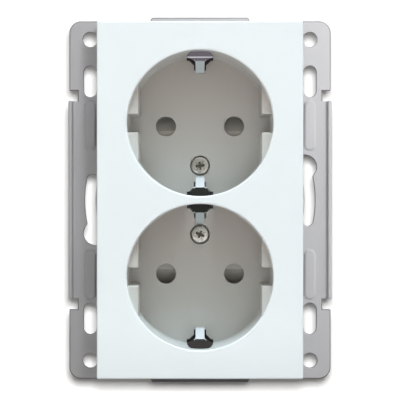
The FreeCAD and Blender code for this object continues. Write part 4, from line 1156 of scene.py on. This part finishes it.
@dataclass
class Stage:
    """The pale floor and backdrop, which aren't part of the object."""

    bench: Bench
    wall_y: float = 33 * MM  # the backdrop's distance behind the frame
    floor_z: float = -62 * MM  # the floor's height
    reach: float = 0.8  # half the stage's width
    whiteness: float = 0.42  # reflectance of both surfaces
    # light that the camera sees added to the backdrop, so that only the shadow stays grey
    glow: float = 0.02
    floor_glow: float = 0.05  # light that the floor throws back up at the object

    def surface(self, name: str, only_seen: bool) -> Material:
        """Builds a stage material that is white where the light reaches it.

        Args:
            name: The material's name.
            only_seen: True where the surface shows only from its front and stops no light.

        Returns:
            The material.
        """
        mixer = Mixer(name)
        mixer.tree.nodes.remove(mixer.shader)
        paint = mixer.node("ShaderNodeBsdfDiffuse")
        paint.inputs["Color"].default_value = (self.whiteness, self.whiteness, self.whiteness, 1.0)
        light = mixer.node("ShaderNodeEmission")
        light.inputs["Strength"].default_value = self.floor_glow
        last = mixer.joined("ShaderNodeAddShader", paint, light)
        if only_seen:
            seen = mixer.seen_rays()
            mixer.link(mixer.math("MULTIPLY", seen, self.glow), light.inputs["Strength"])
            last = mixer.joined("ShaderNodeMixShader", mixer.node("ShaderNodeBsdfTransparent"), last)
            side = mixer.node("ShaderNodeNewGeometry")
            mixer.link(mixer.math("GREATER_THAN", seen, side.outputs["Backfacing"]), last.inputs["Fac"])
        mixer.link(last.outputs[0], mixer.tree.nodes["Material Output"].inputs["Surface"])
        return mixer.material

    def build(self) -> list[Piece]:
        """Makes the floor and the backdrop.

        Returns:
            The two stage pieces.
        """
        plane = bpy.ops.mesh.primitive_plane_add
        side = 2 * self.reach
        floor = self.bench.start(plane, "pale_floor", size=side, location=(0, 0, self.floor_z))
        floor.data.materials.append(self.surface("pale_floor", False))
        place = (0, self.wall_y, self.floor_z + self.reach)
        wall = self.bench.start(plane, "pale_backdrop", size=side, location=place, rotation=UPRIGHT)
        wall.data.materials.append(self.surface("pale_backdrop", True))
        return [floor, wall]


class Reach(Enum):
    """Which pieces a lamp lights."""

    WHOLE = "whole"
    MOULDING = "moulding"
    CLIPS = "clips"
    SHEET = "sheet"
    STAGE = "stage"


@dataclass
class Lamp:
    """One soft area lamp that points at the object's origin."""

    name: str
    place: Triple
    size: Pair  # its width and height
    power: float
    reach: Reach  # which pieces it lights
    colour: Colour = (1.0, 1.0, 1.0)
    blockers: Reach | None = None  # which pieces cast its shadows, or None for all of them

    def build(self, collections: dict[Reach, bpy.types.Collection]) -> None:
        """Makes the lamp.

        Args:
            collections: The pieces of each group.
        """
        data = bpy.data.lights.new(self.name, "AREA")
        data.shape = "RECTANGLE"
        data.size, data.size_y = self.size
        data.energy = self.power
        data.color = self.colour
        lamp = bpy.data.objects.new(self.name, data)
        bpy.context.scene.collection.objects.link(lamp)
        lamp.location = self.place
        lamp.rotation_euler = (-Vector(self.place)).to_track_quat("-Z", "Y").to_euler()
        lamp.light_linking.receiver_collection = collections[self.reach]
        if self.blockers:
            lamp.light_linking.blocker_collection = collections[self.blockers]
        lamp.visible_camera = False


SKY = (0.944, -2.392, 5.422)  # where the softboxes stand
SKY_SIZE = (3.0, 1.44)
SKY_BLUE = (0.79, 0.93, 1.0)
SMALL = (0.04, 0.06)  # size of the lamps on the sheet


@dataclass
class Studio:
    """The light and the camera."""

    ambient: float = 0.5  # strength of the even light from all round
    ambient_colour: Colour = (1.0, 0.95, 0.885)
    room: float = 0.22  # what glossy pieces reflect from the dim side of the studio
    window: float = 0.9  # what they reflect from its bright side
    eye: Triple = (0.0, -0.391, 0.0)  # where the camera stands
    focal: float = 1427.0  # the camera's focal length in pixels of the 400-pixel frame
    frame_width: float = 400.0  # the frame's width in pixels
    lamps: tuple[Lamp, ...] = (
        Lamp("key_softbox", SKY, SKY_SIZE, 345.0, Reach.MOULDING, SKY_BLUE),
        Lamp("clip_softbox", SKY, SKY_SIZE, 176.0, Reach.CLIPS, SKY_BLUE),
        Lamp("rear_fill", (-0.3, 0.5, 0.25), (0.4, 0.4), 5.0, Reach.WHOLE),
        Lamp("sheet_front_lamp", (0.05, -0.17, 0.12), SMALL, 0.21, Reach.SHEET),
        Lamp("sheet_side_lamp", (0.22, -0.22, 0.03), SMALL, 0.41, Reach.SHEET, blockers=Reach.MOULDING),
        Lamp("sheet_left_lamp", (-0.2, -0.12, 0.05), SMALL, 0.02, Reach.SHEET),
        Lamp("backdrop_lamp", (0.004, -0.391, 0.02), (0.03, 0.03), 4.1, Reach.STAGE),
    )

    def light(self, groups: dict[Reach, list[Piece]]) -> None:
        """Sets the world and the lamps: even light all round, and white where it is looked at.

        Args:
            groups: The pieces that each kind of lamp lights.
        """
        world = bpy.data.worlds.new("studio")
        bpy.context.scene.world = world
        world.use_nodes = True
        nodes = Nodes(world.node_tree)
        even = nodes.tree.nodes["Background"]
        even.inputs["Color"].default_value = (*self.ambient_colour, 1.0)
        even.inputs["Strength"].default_value = self.ambient
        white = nodes.node("ShaderNodeBackground")
        white.inputs["Color"].default_value = (1.0, 1.0, 1.0, 1.0)
        nodes.link(self.reflected(nodes), white.inputs["Strength"])
        mix = nodes.joined("ShaderNodeMixShader", even, white)
        nodes.link(nodes.seen_rays(), mix.inputs["Fac"])
        nodes.link(mix.outputs[0], nodes.tree.nodes["World Output"].inputs["Surface"])
        collections = {}
        for reach, pieces in groups.items():
            collections[reach] = bpy.data.collections.new(f"lit_{reach.value}")
            for piece in pieces:
                collections[reach].objects.link(piece)
        for lamp in self.lamps:
            lamp.build(collections)

    def reflected(self, nodes: Nodes) -> Socket:
        """Gives what is seen all round: white behind the object, a dim room with a bright side in front.

        Args:
            nodes: The world's nodes.

        Returns:
            The strength in each direction.
        """
        split = nodes.node("ShaderNodeSeparateXYZ")
        nodes.link(nodes.node("ShaderNodeTexCoord").outputs["Generated"], split.inputs[0])
        sideways = nodes.remap(split.outputs["X"], -0.5, 0.5, self.room, self.window)
        upward = nodes.remap(split.outputs["Z"], 0.0, 0.6, 0.0, self.window - self.room)
        behind = nodes.remap(split.outputs["Y"], -0.05, 0.05)
        path = nodes.node("ShaderNodeLightPath")
        white = nodes.math("MAXIMUM", behind, path.outputs["Is Camera Ray"])
        mix = nodes.node("ShaderNodeMix", data_type="FLOAT")
        nodes.link(white, mix.inputs["Factor"])
        nodes.link(nodes.math("ADD", sideways, upward), mix.inputs["A"])
        mix.inputs["B"].default_value = 1.0
        return mix.outputs["Result"]

    def look(self) -> None:
        """Makes the camera at the photograph's place and angle."""
        data = bpy.data.cameras.new("eye")
        data.sensor_width = 36.0
        data.lens = self.focal / self.frame_width * data.sensor_width
        data.clip_start = 0.01
        data.clip_end = 10.0
        camera = bpy.data.objects.new("eye", data)
        bpy.context.scene.collection.objects.link(camera)
        camera.location = self.eye
        camera.rotation_euler = UPRIGHT
        bpy.context.scene.camera = camera
        bpy.context.scene.view_settings.view_transform = "Standard"


def main() -> None:
    """Builds the scene in order."""
    logging.basicConfig(level=logging.INFO, format="%(name)s: %(message)s")
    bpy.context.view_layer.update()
    bench = Bench()
    fitter = Fitter()
    fitter.dress_nodes()
    for group in (SupportFrame, RoundedCopies, EarthClips, Screws, Rivets, ShutterSprings):
        group(bench, fitter).build()
    stage = Stage(bench).build()
    pieces = [*frame["nodes"].values(), *fitter.pieces]
    sheet = [piece for piece in pieces if piece.name.startswith("support_frame")]
    clips = [piece for piece in pieces if piece.name.endswith("clip_front")]
    studio = Studio()
    studio.light(
        {
            Reach.WHOLE: pieces,
            Reach.MOULDING: [piece for piece in pieces if piece not in sheet + clips],
            Reach.CLIPS: clips,
            Reach.SHEET: sheet,
            Reach.STAGE: stage,
        }
    )
    studio.look()


if __name__ == "__main__":
    main()
